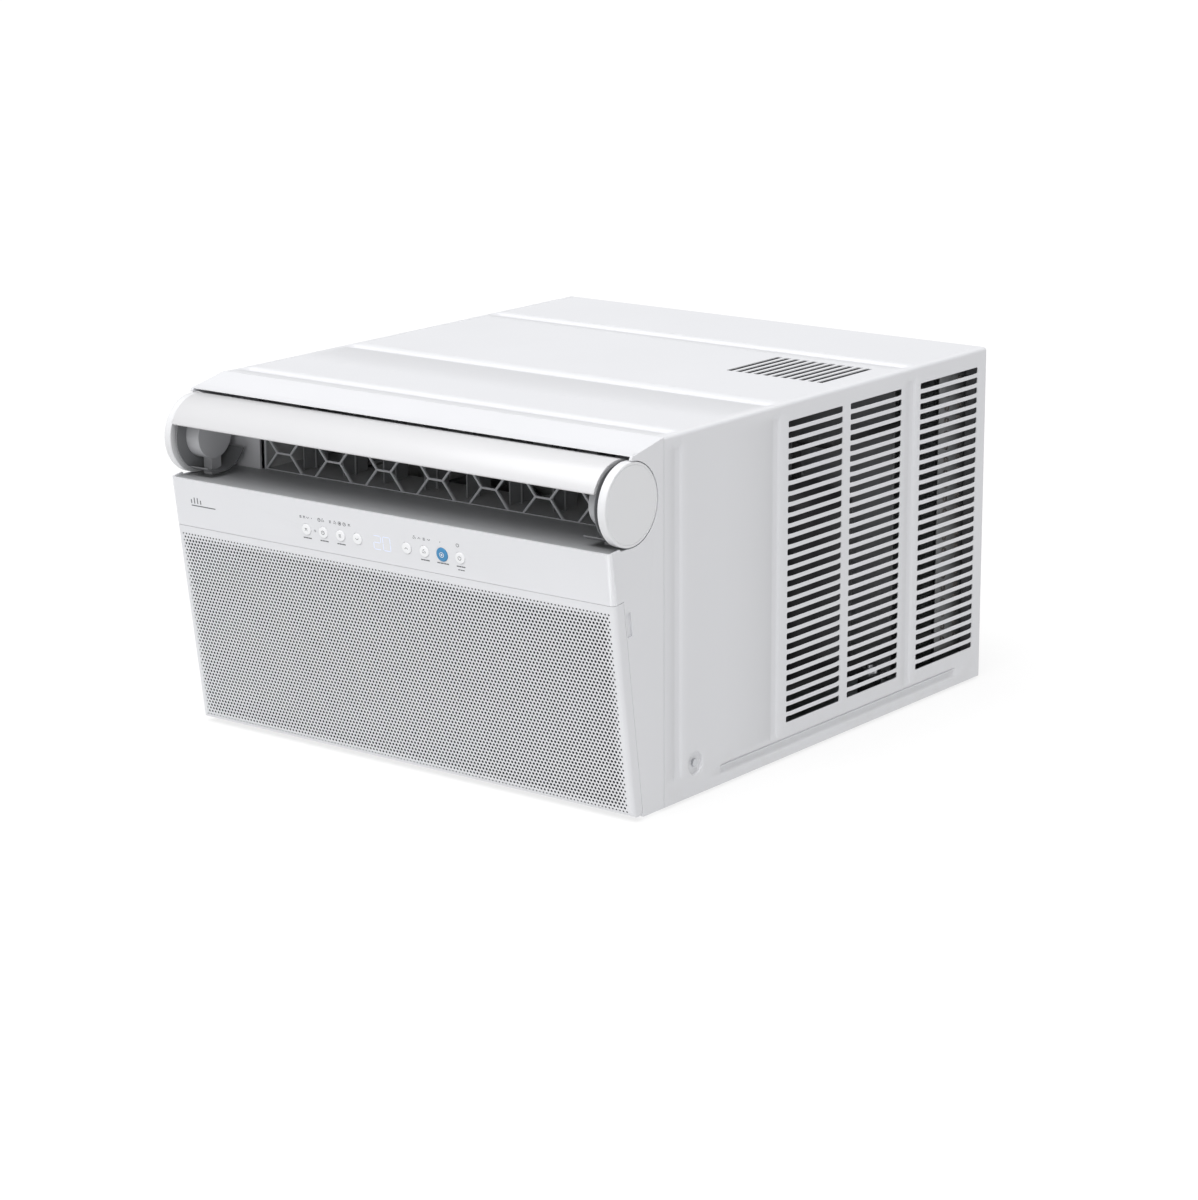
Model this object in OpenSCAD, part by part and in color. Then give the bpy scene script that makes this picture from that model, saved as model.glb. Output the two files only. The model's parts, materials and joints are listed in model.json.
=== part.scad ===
// Window air conditioner: sheet-metal cabinet, sloped plastic front, tube louvre at the top.
// X is the width, the front faces -Y, Z is up. The origin is under the middle of the unit.

/* [Cabinet] */
// Width of the cabinet and of the front
body_w = 560; // [550:5:600]
// Height of the sheet-metal cabinet, without its pads
cabinet_h = 360; // [358:1:366]
// Depth of the sheet-metal cabinet
cabinet_d = 571; // [566:1:590]
// Thickness of the sheet metal
sheet = 1; // [0.8:0.1:1.2]
// Height of the pads under the base pan
pad_h = 3; // [2:0.5:4]
// Bend radius of the cabinet's top corners
bend_r = 4; // [2:1:6]
// Number of slots in each louvre column of a side
slot_count = 29; // [20:1:29]
// Pitch of those slots
slot_pitch = 10.7; // [10:0.1:10.8]
// Height of one slot
slot_h = 6.4; // [4:0.2:7]

/* [Front] */
// How far the louvre tube stands out in front of the cabinet
front_d = 91; // [88:1:96]
// Height of the sloped face
face_h = 264; // [262:1:266]
// How far the face leans out over its height
face_lean = 36; // [30:1:40]
// How far the bottom of the face is in front of the cabinet
face_foot = 47.5; // [46:0.5:50]
// Height of the control strip, along the face
strip_h = 50.6; // [48:0.2:54]
// Wall of the plastic mouldings
wall = 2.5; // [2:0.1:3]
// Depth of the intake grille's side returns
door_t = 14; // [12:0.5:15]

/* [Louvre] */
// Outer radius of the louvre tube
tube_r = 41; // [40:0.5:42]
// Wall of the tube
tube_wall = 2.6; // [2:0.2:3]
// Radius of the hubs the tube turns on
hub_r = 23.6; // [22:0.2:30]
// Radial play of the tube on its hubs
hub_play = 0.06; // [0.02:0.01:0.1]

/* [Controls] */
// Radius of a button
button_r = 5.9; // [5:0.1:6.5]
// Radius of the coloured button
big_button_r = 7; // [6:0.1:7.5]
// Distance between neighbouring buttons
button_pitch = 22.25; // [20:0.25:24]
// Distance from the middle to the nearest button
button_inner = 31.5; // [28:0.5:34]

/* [Air path] */
// Number of upright vanes behind the guard
vane_count = 8; // [8]
// Distance between the vanes
vane_pitch = 54; // [50:1:56]
// Crank radius of the vanes' link
crank_r = 12; // [10:1:14]
// Radius of the blower wheel
blower_r = 98; // [80:1:100]
// Radius of the condenser fan's slinger ring
fan_r = 144; // [120:1:146]

/* [Hidden] */
$fn = 48;

// Main planes
half_w = body_w / 2;
disc_gap = 0.6;
seam_y = front_d - disc_gap - (cabinet_d + front_d - disc_gap) / 2;
rear_y = seam_y + cabinet_d;
base_z = pad_h;
top_z = base_z + cabinet_h;
face_y = seam_y - face_foot;
lean = atan(face_lean / face_h);
face_len = sqrt(face_lean * face_lean + face_h * face_h);
seam_gap = 0.5;
free_gap = 0.3;

// Louvre tube
tube_y = seam_y - front_d + tube_r;
tube_z = base_z + face_h + tube_r;
disc_t = 9;
shell_left = -half_w + disc_t + free_gap;
shell_right = half_w - disc_t - 6;
shell_from = 15;
shell_to = 159;

// Beads pressed into the cabinet, and the slots between them
bead_ys = [seam_y + 21.5, seam_y + 182.3, seam_y + 426.3];
bead_w = 10;
bead_depth = 1.6;
side_bead_from = base_z + 26.7;
side_bead_to = base_z + 346.7;
column_ys = [[203.3, 299], [312.5, 407], [442.4, 554.6]];
slot_z = base_z + 38.5;
vent_from = [seam_y + 304, 133.4];
vent_slots = 11;
vent_pitch = 11.06;
vent_slot = [6.8, 93];
dimple = [seam_y + 51, base_z + 32];
dimple_r = 11;
dimple_depth = 3;

// Door hinge, in face coordinates
hinge_t = door_t / 2;
hinge_s = 8;
hinge_pin_r = 2.5;
door_top = face_len - strip_h - seam_gap;
catch_x = half_w - 19;

// Controls, in face coordinates
button_s = face_len - 30.2;
board_t = 12;

// Air outlet
duct_half = 231;
floor_top = base_z + face_h - 0.1;
floor_t = 2.4;
ceiling_z = top_z - 11;
guard_y = seam_y + 1;
guard_t = 2;
cell_pitch = 33.65;
cell_rise = 18.5;
cell_flat = 18.3;
guard_bar = 2;
duct_back = seam_y + 168;
vane_y = seam_y + 35;
vane_chord = 36;
vane_t = 1.6;
vane_pin_r = 2;
link_z = base_z + 293;

// Shaft of the two fans
shaft = [-40, 165];
shaft_r = 6;
scroll_front = seam_y + 62;
scroll_back = seam_y + 164;
wheel_front = seam_y + 70;
wheel_back = seam_y + 146;
bulkhead_y = seam_y + 170;
motor_front = seam_y + 184;
motor_len = 76;
motor_r = 58;
fan_front = seam_y + 445;
fan_depth = 35;
coil_back = [rear_y - 63, rear_y - 11.5];

// Compressor side
compressor_at = [190, seam_y + 350];
compressor_r = 58;
accumulator_at = [103, seam_y + 350];
pan_floor = base_z + 1;
pan_half = half_w - 4.2;
pan_top = pan_floor + 1.2;

white = [0.93, 0.93, 0.95];
pale = [0.86, 0.87, 0.88];
light_grey = [0.75, 0.76, 0.77];
dark_grey = [0.30, 0.31, 0.33];
steel = [0.62, 0.64, 0.66];
copper = [0.78, 0.48, 0.30];
black = [0.12, 0.12, 0.13];

// ---- drawing helpers ----

// A box between two corners
module block(low, high) { translate(low) cube(high - low); }

// Round bars along each axis, from a point
module rod_x(at, len, r) { translate(at) rotate([0, 90, 0]) cylinder(h = len, r = r); }
module rod_y(at, len, r) { translate(at) rotate([-90, 0, 0]) cylinder(h = len, r = r); }
module rod_z(at, len, r) { translate(at) cylinder(h = len, r = r); }

// A side outline (Y, Z) drawn out along X, and a front outline (X, Z) along Y
module along_x(from, to) { translate([from, 0, 0]) rotate([90, 0, 90]) linear_extrude(to - from) children(); }
module along_y(from, to) { translate([0, to, 0]) rotate([90, 0, 0]) linear_extrude(to - from) children(); }

// Face coordinates: X across, Y into the unit, Z up along the sloped face
module on_face() { translate([0, face_y, base_z]) rotate([lean, 0, 0]) children(); }

// The (Y, Z) place of a point given in face coordinates
function face_point(t, s) = [face_y + t * cos(lean) - s * sin(lean), base_z + t * sin(lean) + s * cos(lean)];

// A slot or bead outline with round ends, along its second direction
module capsule(w, len) {
    translate([-w / 2, w / 2]) square([w, len - w]);
    translate([0, w / 2]) circle(w / 2);
    translate([0, len - w / 2]) circle(w / 2);
}

// The part of the plane between two angles round the origin
module wedge(from, to, r) {
    steps = 8;
    polygon(concat([[0, 0]], [for (i = [0:steps]) let(a = from + (to - from) * i / steps) r * [cos(a), sin(a)]]));
}

// A tube bent along straight runs, with round corners
module pipe(points, r) {
    for (i = [0:len(points) - 2]) {
        run = points[i + 1] - points[i];
        turn = atan2(run.y, run.x);
        tilt = acos(run.z / norm(run));
        translate(points[i]) rotate([0, tilt, turn]) cylinder(h = norm(run), r = r);
        if (i > 0) translate(points[i]) sphere(r);
    }
}

// ---- cabinet and base ----

// Outline of the bent wrapper, grown inwards by d
module wrapper_outline(d) {
    w = half_w - d;
    r = bend_r - d;
    translate([-w, base_z - (d > 0 ? 1 : 0)]) square([2 * w, cabinet_h - bend_r + (d > 0 ? 1 : 0)]);
    translate([-w + r, base_z]) square([2 * (w - r), cabinet_h - d]);
    for (x = [-w + r, w - r]) translate([x, top_z - bend_r]) circle(r);
}

// The upright beads of both sides, the long low bead and the beads across the top
module beads(grow, depth) {
    w = bead_w + 2 * grow;
    for (y = bead_ys) {
        for (x = [-half_w - 1, half_w - depth]) along_x(x, x + depth + 1)
            translate([y, side_bead_from - grow]) capsule(w, side_bead_to - side_bead_from + 2 * grow);
        translate([0, 0, top_z - depth]) linear_extrude(depth + 1)
            rotate(90) translate([y, -half_w + 10 - grow]) capsule(w, body_w - 20 + 2 * grow);
    }
    low_w = 6.5 + 2 * grow;
    for (x = [-half_w - 1, half_w - depth]) along_x(x, x + depth + 1)
        translate([seam_y + 91 - grow, base_z + 15]) rotate(-90) capsule(low_w, 431 + 2 * grow);
}

module cabinet() {
    opening = [half_w - 22, base_z + 17, top_z - 15];
    color(white) difference() {
        union() {
            along_y(seam_y, rear_y) difference() {
                wrapper_outline(0);
                wrapper_outline(sheet);
            }
            along_y(rear_y - sheet, rear_y) difference() {
                wrapper_outline(0);
                translate([-opening[0], opening[1]]) square([2 * opening[0], opening[2] - opening[1]]);
            }
            intersection() {
                beads(sheet, bead_depth + sheet);
                along_y(seam_y, rear_y) wrapper_outline(0);
            }
            for (x = [-half_w, half_w - dimple_depth - sheet])
                rod_x([x, dimple[0], dimple[1]], dimple_depth + sheet, dimple_r + sheet);
        }
        beads(0, bead_depth);
        for (column = column_ys, i = [0:slot_count - 1])
            block([-half_w - 1, seam_y + column[0], slot_z + i * slot_pitch - slot_h / 2],
                  [half_w + 1, seam_y + column[1], slot_z + i * slot_pitch + slot_h / 2]);
        for (i = [0:vent_slots - 1])
            block([vent_from[1] + i * vent_pitch, vent_from[0], top_z - 2],
                  [vent_from[1] + i * vent_pitch + vent_slot.x, vent_from[0] + vent_slot.y, top_z + 1]);
        for (x = [-half_w - 1, half_w - dimple_depth])
            rod_x([x, dimple[0], dimple[1]], dimple_depth + 1, dimple_r);
        rod_x([-half_w - 1, dimple[0], dimple[1]], body_w + 2, 2.2);
    }
}

module base_pan() {
    flange = 22;
    tab = [13, base_z + 46];
    bolt_x = 240;
    drain = [-230, rear_y - 86];
    color(steel) difference() {
        union() {
            difference() {
                block([-pan_half, seam_y + 2, pan_floor], [pan_half, rear_y - 1.5, pan_floor + flange]);
                block([-pan_half + 1.2, seam_y + 3.2, pan_top], [pan_half - 1.2, rear_y - 2.7, pan_floor + flange + 1]);
            }
            for (x = [-pan_half, pan_half - 1.2])
                block([x, dimple[0] - tab[0], pan_floor], [x + 1.2, dimple[0] + tab[0], tab[1]]);
            rod_z([drain[0], drain[1], pan_floor], 4, 10);
        }
        for (x = [-bolt_x, bolt_x], y = [seam_y + 180, seam_y + 420]) rod_z([x, y, pan_floor - 1], 4, 3);
        rod_z([drain[0], drain[1], pan_floor - 1], 8, 8);
        rod_x([-half_w, dimple[0], dimple[1]], body_w, 2);
    }
}

module base_pads() {
    color(black) for (x = [-half_w + 15, half_w - 65], y = [[seam_y + 3, 60], [rear_y - 41, 38]])
        block([x, y[0], 0], [x + 50, y[0] + y[1], pan_floor - 0.05]);
}

module cabinet_screws() {
    head = [3.9, 2.2];
    shank_r = 1.9;
    seat = half_w - dimple_depth;
    color(steel) {
        rod_x([seat + 0.05, dimple[0], dimple[1]], head[1], head[0]);
        rod_x([seat - 9, dimple[0], dimple[1]], 9.1, shank_r);
        rod_x([-seat - 0.05 - head[1], dimple[0], dimple[1]], head[1], head[0]);
        rod_x([-seat - 0.1, dimple[0], dimple[1]], 9.1, shank_r);
    }
}

module rear_guard() {
    low = [-half_w + 12, base_z + 24];
    high = [half_w - 12, top_z - 11];
    bar = 3;
    rows = 12;
    columns = 8;
    cell = [(high.x - low.x - bar) / columns, (high.y - low.y - bar) / rows];
    color(light_grey) along_y(rear_y - 9, rear_y - 9 + bar) difference() {
        translate(low) square(high - low);
        for (i = [0:columns - 1], j = [0:rows - 1])
            translate([low.x + bar + i * cell.x, low.y + bar + j * cell.y]) square(cell - [bar, bar]);
    }
}

// ---- front moulding and controls ----

// Side outline of a cheek, cut round the tube's disc
module cheek_outline() {
    foot_y = face_y + (door_t + free_gap) / cos(lean);
    edge_r = 5;
    difference() {
        polygon([
            [seam_y - seam_gap, base_z], [foot_y, base_z],
            face_point(door_t + free_gap, face_len - strip_h),
            face_point(edge_r, face_len - strip_h), face_point(edge_r, face_len - 0.5),
            [tube_y, base_z + face_h], [tube_y, tube_z + tube_r + 1.5],
            [tube_y + 2, tube_z + tube_r + 4], [seam_y - 37, top_z - 7.8],
            [seam_y - seam_gap, top_z]
        ]);
        translate([tube_y, tube_z]) circle(tube_r);
    }
}

module visor_outline() {
    polygon([
        [seam_y - seam_gap, top_z], [seam_y - 37, top_z - 7.8], [tube_y + 4, top_z - 9.0],
        [tube_y + 2.6, top_z - 9.6], [tube_y + 2.8, top_z - 10.8], [tube_y + 6, top_z - 11.2],
        [seam_y - 36, top_z - 10.4], [seam_y - seam_gap, top_z - 3.2]
    ]);
}

// Plan outline of the face with round upright edges, set in by d and t deep
module face_plan(d, t) {
    r = 5 - d;
    w = half_w - d;
    translate([-w + r, d]) square([2 * (w - r), t - d]);
    translate([-w, d + r]) square([2 * w, t - d - r]);
    for (x = [-w + r, w - r]) translate([x, d + r]) circle(r);
}

// The wall behind the grille, with the intake window and the latch holes
module inner_frame() {
    back = door_t + 0.5;
    on_face() difference() {
        block([-half_w + 2, back, 16], [half_w - 2, back + wall, face_len - 8]);
        block([-half_w + 40, back - 1, 26], [165, back + wall + 1, 206]);
        for (x = [-catch_x, catch_x]) block([x - 6, back - 1, 206.5], [x + 6, back + wall + 1, 213.5]);
    }
}

// Ears that carry the grille's hinge pins
module hinge_ears() {
    ear_x = half_w - 18;
    for (side = [-1, 1]) on_face() {
        along_x(side * ear_x - 2, side * ear_x + 2) union() {
            translate([hinge_t, hinge_s]) circle(4);
            polygon([[hinge_t - 3.4, hinge_s + 2], [hinge_t + 3.7, hinge_s - 1.5], [door_t + 1, 20], [door_t + 1, 32]]);
        }
        rod_x([side > 0 ? ear_x + 1 : -ear_x - 11, hinge_t, hinge_s], 10, hinge_pin_r);
    }
}

module front_bezel() {
    plate_front = seam_y - 3;
    color(white) difference() {
        union() {
            for (x = [-half_w, half_w - 3]) along_x(x, x + 3) cheek_outline();
            along_x(-half_w + 2, half_w - 2) visor_outline();
            on_face() translate([0, 0, face_len - strip_h]) linear_extrude(strip_h) difference() {
                face_plan(0, 16);
                face_plan(wall, 17);
            }
            along_y(plate_front, seam_y - seam_gap) difference() {
                translate([-half_w + 2, base_z]) square([body_w - 4, cabinet_h - 4]);
                translate([-half_w + 40, base_z + 11]) square([half_w + 135, 244]);
                translate([-duct_half, floor_top - floor_t - 0.3]) square([2 * duct_half, ceiling_z - floor_top + floor_t + 0.3]);
            }
            block([-half_w + 2, face_y + door_t + 2.5, base_z], [half_w - 2, plate_front + 1, base_z + wall]);
            inner_frame();
            hinge_ears();
            for (x = [-215, 215]) block([x - 15, plate_front, top_z - 4.4], [x + 15, seam_y + 14, top_z - 1.4]);
        }
        on_face() {
            for (i = [0:3], side = [-1, 1]) {
                r = side > 0 && i == 2 ? big_button_r : button_r;
                rod_y([side * (button_inner + i * button_pitch), -1, button_s], wall + 2, r + 0.25);
            }
            block([-16, 1.2, button_s - 11], [16, wall + 1, button_s + 11]);
            for (x = [-half_w - 1, half_w - 1.8])
                block([x, door_t + 1.5, 179], [x + 2.8, door_t + 9, 203]);
        }
        rod_x([-half_w - 1, seam_y - 21, base_z + 42], 6, 8.1);
    }
}

module display_board() {
    half = button_inner + 3 * button_pitch + 14;
    color("darkgreen") on_face() {
        block([-half, board_t, button_s - 13], [half, board_t + 1.6, button_s + 13]);
        for (i = [0:3], side = [-1, 1])
            block([side * (button_inner + i * button_pitch) - 3, board_t - 3, button_s - 3],
                  [side * (button_inner + i * button_pitch) + 3, board_t, button_s + 3]);
    }
}

module display_module() {
    color(black) on_face() block([-14, 4, button_s - 9.5], [14, board_t - 0.1, button_s + 9.5]);
}

// A button: cap through the strip, retaining flange behind it and a stem
module button(x, r, shade) {
    proud = 0.8;
    color(shade) on_face() {
        rod_y([x, -proud, button_s], proud + 4.6, r);
        rod_y([x, 3.9, button_s], 1.4, r + 1.3);
        rod_y([x, 4, button_s], 3.5, 2);
    }
}

// ---- intake grille and filter ----

// Side outline of the grille: straight, with a round foot about the hinge
module door_outline(d) {
    translate([d, hinge_s]) square([door_t - 2 * d, door_top - hinge_s - d]);
    translate([hinge_t, hinge_s]) circle(hinge_t - d);
}

module intake_grille() {
    lug_x = half_w - 10;
    rail_t = 11.5;
    color(white) on_face() difference() {
        union() {
            difference() {
                intersection() {
                    linear_extrude(door_top) face_plan(0, door_t + 1);
                    along_x(-half_w, half_w) door_outline(0);
                }
                block([-half_w + wall, wall, hinge_s], [half_w - wall, door_t + 1, door_top - wall]);
                along_x(-half_w + wall, half_w - wall) translate([hinge_t, hinge_s]) circle(hinge_t - wall);
                // The foot's wall ends before it meets the ears, and the top stays open for the filter
                along_x(-half_w + wall, half_w - wall) translate([hinge_t, hinge_s]) wedge(-75, 90, 12);
                block([-half_w + wall, 4.8, door_top - wall - 1], [half_w - wall, door_t + 1, door_top + 1]);
            }
            for (x = [-lug_x, lug_x]) along_x(x - 1.5, x + 1.5) {
                translate([hinge_t, hinge_s]) circle(4.3);
                translate([1, hinge_s - 3]) square([hinge_t - 2, 6]);
            }
            for (x = [-half_w + 34, 168.6]) block([x, 1, 18], [x + 3, rail_t, 206]);
            for (x = [-catch_x, catch_x]) block([x - 4, 1, 208.5], [x + 4, door_t + 1.5, 211.5]);
        }
        for (x = [-lug_x, lug_x]) rod_x([x - 3, hinge_t, hinge_s], 6, hinge_pin_r + 0.05);
    }
}

filter_low = [-half_w + 38, 20];
filter_high = [168, 205];
filter_t = [5.2, 10.2];
filter_rim = 8;

module filter_frame() {
    inner_low = filter_low + [filter_rim, filter_rim];
    inner_high = filter_high - [filter_rim, filter_rim];
    bars = 5;
    step = (inner_high.x - inner_low.x) / bars;
    color(light_grey) on_face() {
        difference() {
            block([filter_low.x, filter_t[0], filter_low.y], [filter_high.x, filter_t[1], filter_high.y]);
            block([inner_low.x, filter_t[0] - 1, inner_low.y], [inner_high.x, filter_t[1] + 1, inner_high.y]);
        }
        for (i = [1:bars - 1])
            block([inner_low.x + i * step - 1.5, filter_t[0], inner_low.y - 1], [inner_low.x + i * step + 1.5, 7, inner_high.y + 1]);
        block([inner_low.x - 1, filter_t[0], 111], [inner_high.x + 1, 7, 114]);
    }
}

module filter_mesh() {
    play = filter_rim + 0.2;
    color([0.2, 0.32, 0.42]) on_face()
        block([filter_low.x + play, 7.2, filter_low.y + play], [filter_high.x - play, 8, filter_high.y - play]);
}

// ---- louvre ----

// Side outline of the tube's arc between two radii, its ends set in by an angle
module shell_arc(inner, outer, inset) {
    difference() {
        circle(outer);
        circle(inner);
        wedge(shell_to - inset, shell_from + inset + 360, 2 * outer);
    }
}

module louver_shell() {
    end_t = 3;
    color(white) translate([0, tube_y, tube_z]) {
        along_x(shell_left, shell_right) shell_arc(tube_r - tube_wall, tube_r, 0);
        for (x = [shell_left + 0.5, shell_right - end_t - 0.5]) along_x(x, x + end_t) {
            shell_arc(hub_r + 1, tube_r - tube_wall / 2, 3);
            difference() {
                circle(hub_r + 3);
                circle(hub_r + hub_play);
            }
        }
    }
}

// A fixed hub on its foot; side is 1 on the right, -1 on the left
module louver_hub(side) {
    inner_end = half_w - 32;
    outer_end = half_w - disc_t - 0.1;
    barrel_from = side > 0 ? inner_end : -outer_end;
    foot_from = side > 0 ? inner_end + 2 : -inner_end - 15;
    bore_from = side > 0 ? inner_end + 2.5 : -outer_end - 1;
    color(pale) difference() {
        union() {
            rod_x([barrel_from, tube_y, tube_z], outer_end - inner_end, hub_r);
            block([foot_from, tube_y - 2, floor_top + 0.05], [foot_from + 11, tube_y + 12, tube_z - hub_r + 4]);
        }
        rod_x([bore_from, tube_y, tube_z], outer_end - inner_end - 1.5, 14.4);
    }
}

// The round cap set in a cheek; side is 1 on the right, -1 on the left
module side_disc(side) {
    r = tube_r - disc_gap;
    bevel = 1.4;
    color(pale) translate([side * half_w, tube_y, tube_z]) rotate([0, side > 0 ? -90 : 90, 0]) {
        cylinder(h = bevel, r1 = r - bevel, r2 = r);
        translate([0, 0, bevel]) cylinder(h = disc_t - bevel, r = r);
    }
}

module louver_motor() {
    color(steel) rod_x([half_w - 29.2, tube_y, tube_z], 19, 14);
}

// ---- air outlet ----

// One opening of the honeycomb guard
module guard_cell() {
    half_flat = cell_flat / 2;
    side = cell_pitch - half_flat;
    polygon([for (p = [[half_flat - 0.6, cell_rise - guard_bar / 2], [side - 1.3, 0], [half_flat - 0.6, guard_bar / 2 - cell_rise],
                       [0.6 - half_flat, guard_bar / 2 - cell_rise], [1.3 - side, 0], [0.6 - half_flat, cell_rise - guard_bar / 2]]) p]);
}

module outlet_guard() {
    low = [-duct_half + 2.8, floor_top + 0.1];
    high = [duct_half - 2.8, ceiling_z - 3];
    rim = 2;
    color(light_grey) along_y(guard_y, guard_y + guard_t) difference() {
        translate(low) square(high - low);
        intersection() {
            translate(low + [rim, 0.8]) square(high - low - [2 * rim, rim + 0.8]);
            for (i = [-7:7], j = [0:2])
                translate([i * cell_pitch, floor_top + 0.1 + cell_rise * (2 * j + (i % 2 == 0 ? 0 : 1))]) guard_cell();
        }
    }
}

module outlet_duct() {
    front = face_point(wall, face_len).x + 0.6;
    behind_guard = guard_y + guard_t + 0.2;
    in_plate = duct_half - 0.3;
    color(dark_grey) difference() {
        union() {
            block([-half_w + 6, front, floor_top - floor_t], [half_w - 6, front + 3, floor_top]);
            block([-half_w + 3.3, front + 2.6, floor_top - floor_t], [half_w - 3.3, seam_y - 3.3, floor_top]);
            block([-in_plate, seam_y - 4, floor_top - floor_t], [in_plate, duct_back, floor_top]);
            for (x = [-in_plate, in_plate - floor_t])
                block([x, behind_guard, floor_top - 1], [x + floor_t, duct_back, ceiling_z]);
            block([-in_plate, behind_guard, ceiling_z - floor_t], [in_plate, duct_back, ceiling_z]);
            block([-in_plate, duct_back - floor_t, floor_top - 1], [in_plate, duct_back, ceiling_z]);
        }
        block([shaft[0] - 120, scroll_front + 3, floor_top - 5], [shaft[0] + 120, scroll_back - 3, floor_top + 1]);
        for (i = [1:vane_count]) rod_z([vane_x(i), vane_y, floor_top - 5], ceiling_z - floor_top + 10, vane_pin_r + 0.05);
    }
}

function vane_x(i) = (i - (vane_count + 1) / 2) * vane_pitch;

module vane(i) {
    low = floor_top + 1.5;
    high = ceiling_z - floor_t - 1.5;
    notch = 5;
    color(dark_grey) translate([vane_x(i), vane_y, 0]) {
        difference() {
            block([-vane_t / 2, -vane_chord / 2, low], [vane_t / 2, vane_chord / 2, high]);
            block([-vane_t, 4, link_z - notch], [vane_t, vane_chord, link_z + notch]);
        }
        rod_z([0, 0, floor_top - floor_t], ceiling_z - floor_top + floor_t, vane_pin_r);
        rod_z([0, crank_r, link_z - notch - 1], 2 * notch + 2, 1.5);
    }
}

module vane_link() {
    half = vane_x(vane_count) + 9;
    color(pale) difference() {
        block([-half, vane_y + crank_r - 5.5, link_z - 1.5], [half, vane_y + crank_r + 4.5, link_z + 1.5]);
        for (i = [1:vane_count])
            block([vane_x(i) - 2, vane_y + crank_r - 3.7, link_z - 2], [vane_x(i) + 2, vane_y + crank_r + 2.2, link_z + 2]);
    }
}

module vane_motor() {
    color(steel) rod_z([vane_x(vane_count), vane_y, floor_top - floor_t - 19.2], 19, 14);
}

// ---- indoor side ----

module evaporator() {
    low = [-half_w + 45, seam_y + 11, base_z + 21];
    high = [160, seam_y + 53, base_z + 253];
    plate = [1.5, 2];
    color("lightgray") {
        block(low, high);
        for (x = [low.x - plate[0], high.x])
            block([x, low.y - plate[1], low.z], [x + plate[0], high.y + plate[1], high.z]);
    }
}

module drain_tray() {
    low = [-half_w + 35, seam_y + 4, pan_top + 0.2];
    high = [172, seam_y + 60, base_z + 18];
    color(dark_grey) difference() {
        block(low, high);
        block(low + [2, 2, 3], [high.x - 2, high.y - 2, high.z + 1]);
    }
}

module blower_scroll() {
    cavity_r = 120;
    skin = 3;
    low = [shaft[0] - cavity_r - 18, scroll_front, shaft[1] - cavity_r - 6];
    high = [shaft[0] + cavity_r + 18, scroll_back, floor_top - floor_t - 2];
    color([0.85, 0.85, 0.82]) difference() {
        block(low, high);
        rod_y([shaft[0], scroll_front + skin, shaft[1]], scroll_back - scroll_front - 2 * skin, cavity_r);
        block([shaft[0] - cavity_r, scroll_front + skin, shaft[1]], [shaft[0] + cavity_r, scroll_back - skin, high.z + 1]);
        rod_y([shaft[0], scroll_front - 1, shaft[1]], 10, blower_r - 16);
        rod_y([shaft[0], scroll_back - 5, shaft[1]], 10, 20);
    }
}

module blower_wheel() {
    blades = 30;
    color(dark_grey) translate([shaft[0], 0, shaft[1]]) difference() {
        union() {
            rod_y([0, wheel_back - 2, 0], 2, blower_r);
            rod_y([0, wheel_back - 30, 0], 32, 15);
            difference() {
                rod_y([0, wheel_front, 0], 3, blower_r);
                rod_y([0, wheel_front - 1, 0], 5, blower_r - 14);
            }
            for (i = [0:blades - 1]) rotate([0, i * 360 / blades, 0])
                block([blower_r - 13, wheel_front + 2, -0.7], [blower_r - 1, wheel_back - 1, 0.7]);
        }
        rod_y([0, wheel_front - 5, 0], 100, shaft_r + 0.02);
    }
}

module bulkhead() {
    color(steel) difference() {
        block([-half_w + 6, bulkhead_y, pan_top + 0.2], [half_w - 6, bulkhead_y + 1.5, top_z - 8]);
        rod_y([shaft[0], bulkhead_y - 1, shaft[1]], 4, 14);
        rod_y([172, bulkhead_y - 1, base_z + 233], 4, 8);
        rod_y([168, bulkhead_y - 1, base_z + 57], 4, 6);
    }
}

// ---- fan drive and outdoor side ----

module fan_motor() {
    color(steel) translate([shaft[0], 0, shaft[1]]) difference() {
        union() {
            rod_y([0, motor_front, 0], motor_len, motor_r);
            rod_y([0, motor_front - 6, 0], motor_len + 12, 26);
        }
        rod_y([0, motor_front - 7, 0], motor_len + 14, shaft_r + 0.05);
    }
}

module motor_bracket() {
    half = 50;
    front = motor_front + 14;
    back = motor_front + 60;
    plate = 2;
    color(steel) difference() {
        union() {
            for (y = [front, back - plate]) block([shaft[0] - half, y, pan_top + 0.2], [shaft[0] + half, y + plate, shaft[1] - 25]);
            block([shaft[0] - half, front, pan_top + 0.2], [shaft[0] + half, back, pan_top + 0.2 + plate]);
        }
        rod_y([shaft[0], front - 1, shaft[1]], back - front + 2, motor_r + 0.2);
    }
}

module fan_shaft() {
    color(steel) rod_y([shaft[0], wheel_front + 4, shaft[1]], fan_front + fan_depth + 4 - wheel_front, shaft_r);
}

module condenser_fan() {
    blades = 5;
    pitch = 24;
    hub = 32;
    mid = fan_front + fan_depth / 2;
    color(black) translate([shaft[0], 0, shaft[1]]) difference() {
        union() {
            rod_y([0, fan_front + 4, 0], fan_depth - 8, hub);
            difference() {
                rod_y([0, fan_front, 0], fan_depth, fan_r);
                rod_y([0, fan_front - 1, 0], fan_depth + 2, fan_r - 4);
            }
            for (i = [0:blades - 1]) rotate([0, i * 360 / blades, 0])
                translate([0, mid, 0]) rotate([pitch, 0, 0]) block([hub - 4, -1.2, -30], [fan_r - 9, 1.2, 30]);
            for (i = [0:blades - 1]) rotate([0, i * 360 / blades, 0])
                block([fan_r - 14, mid - 6, -1.5], [fan_r - 2, mid + 6, 1.5]);
        }
        rod_y([0, fan_front - 1, 0], fan_depth + 2, shaft_r + 0.02);
    }
}

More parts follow.
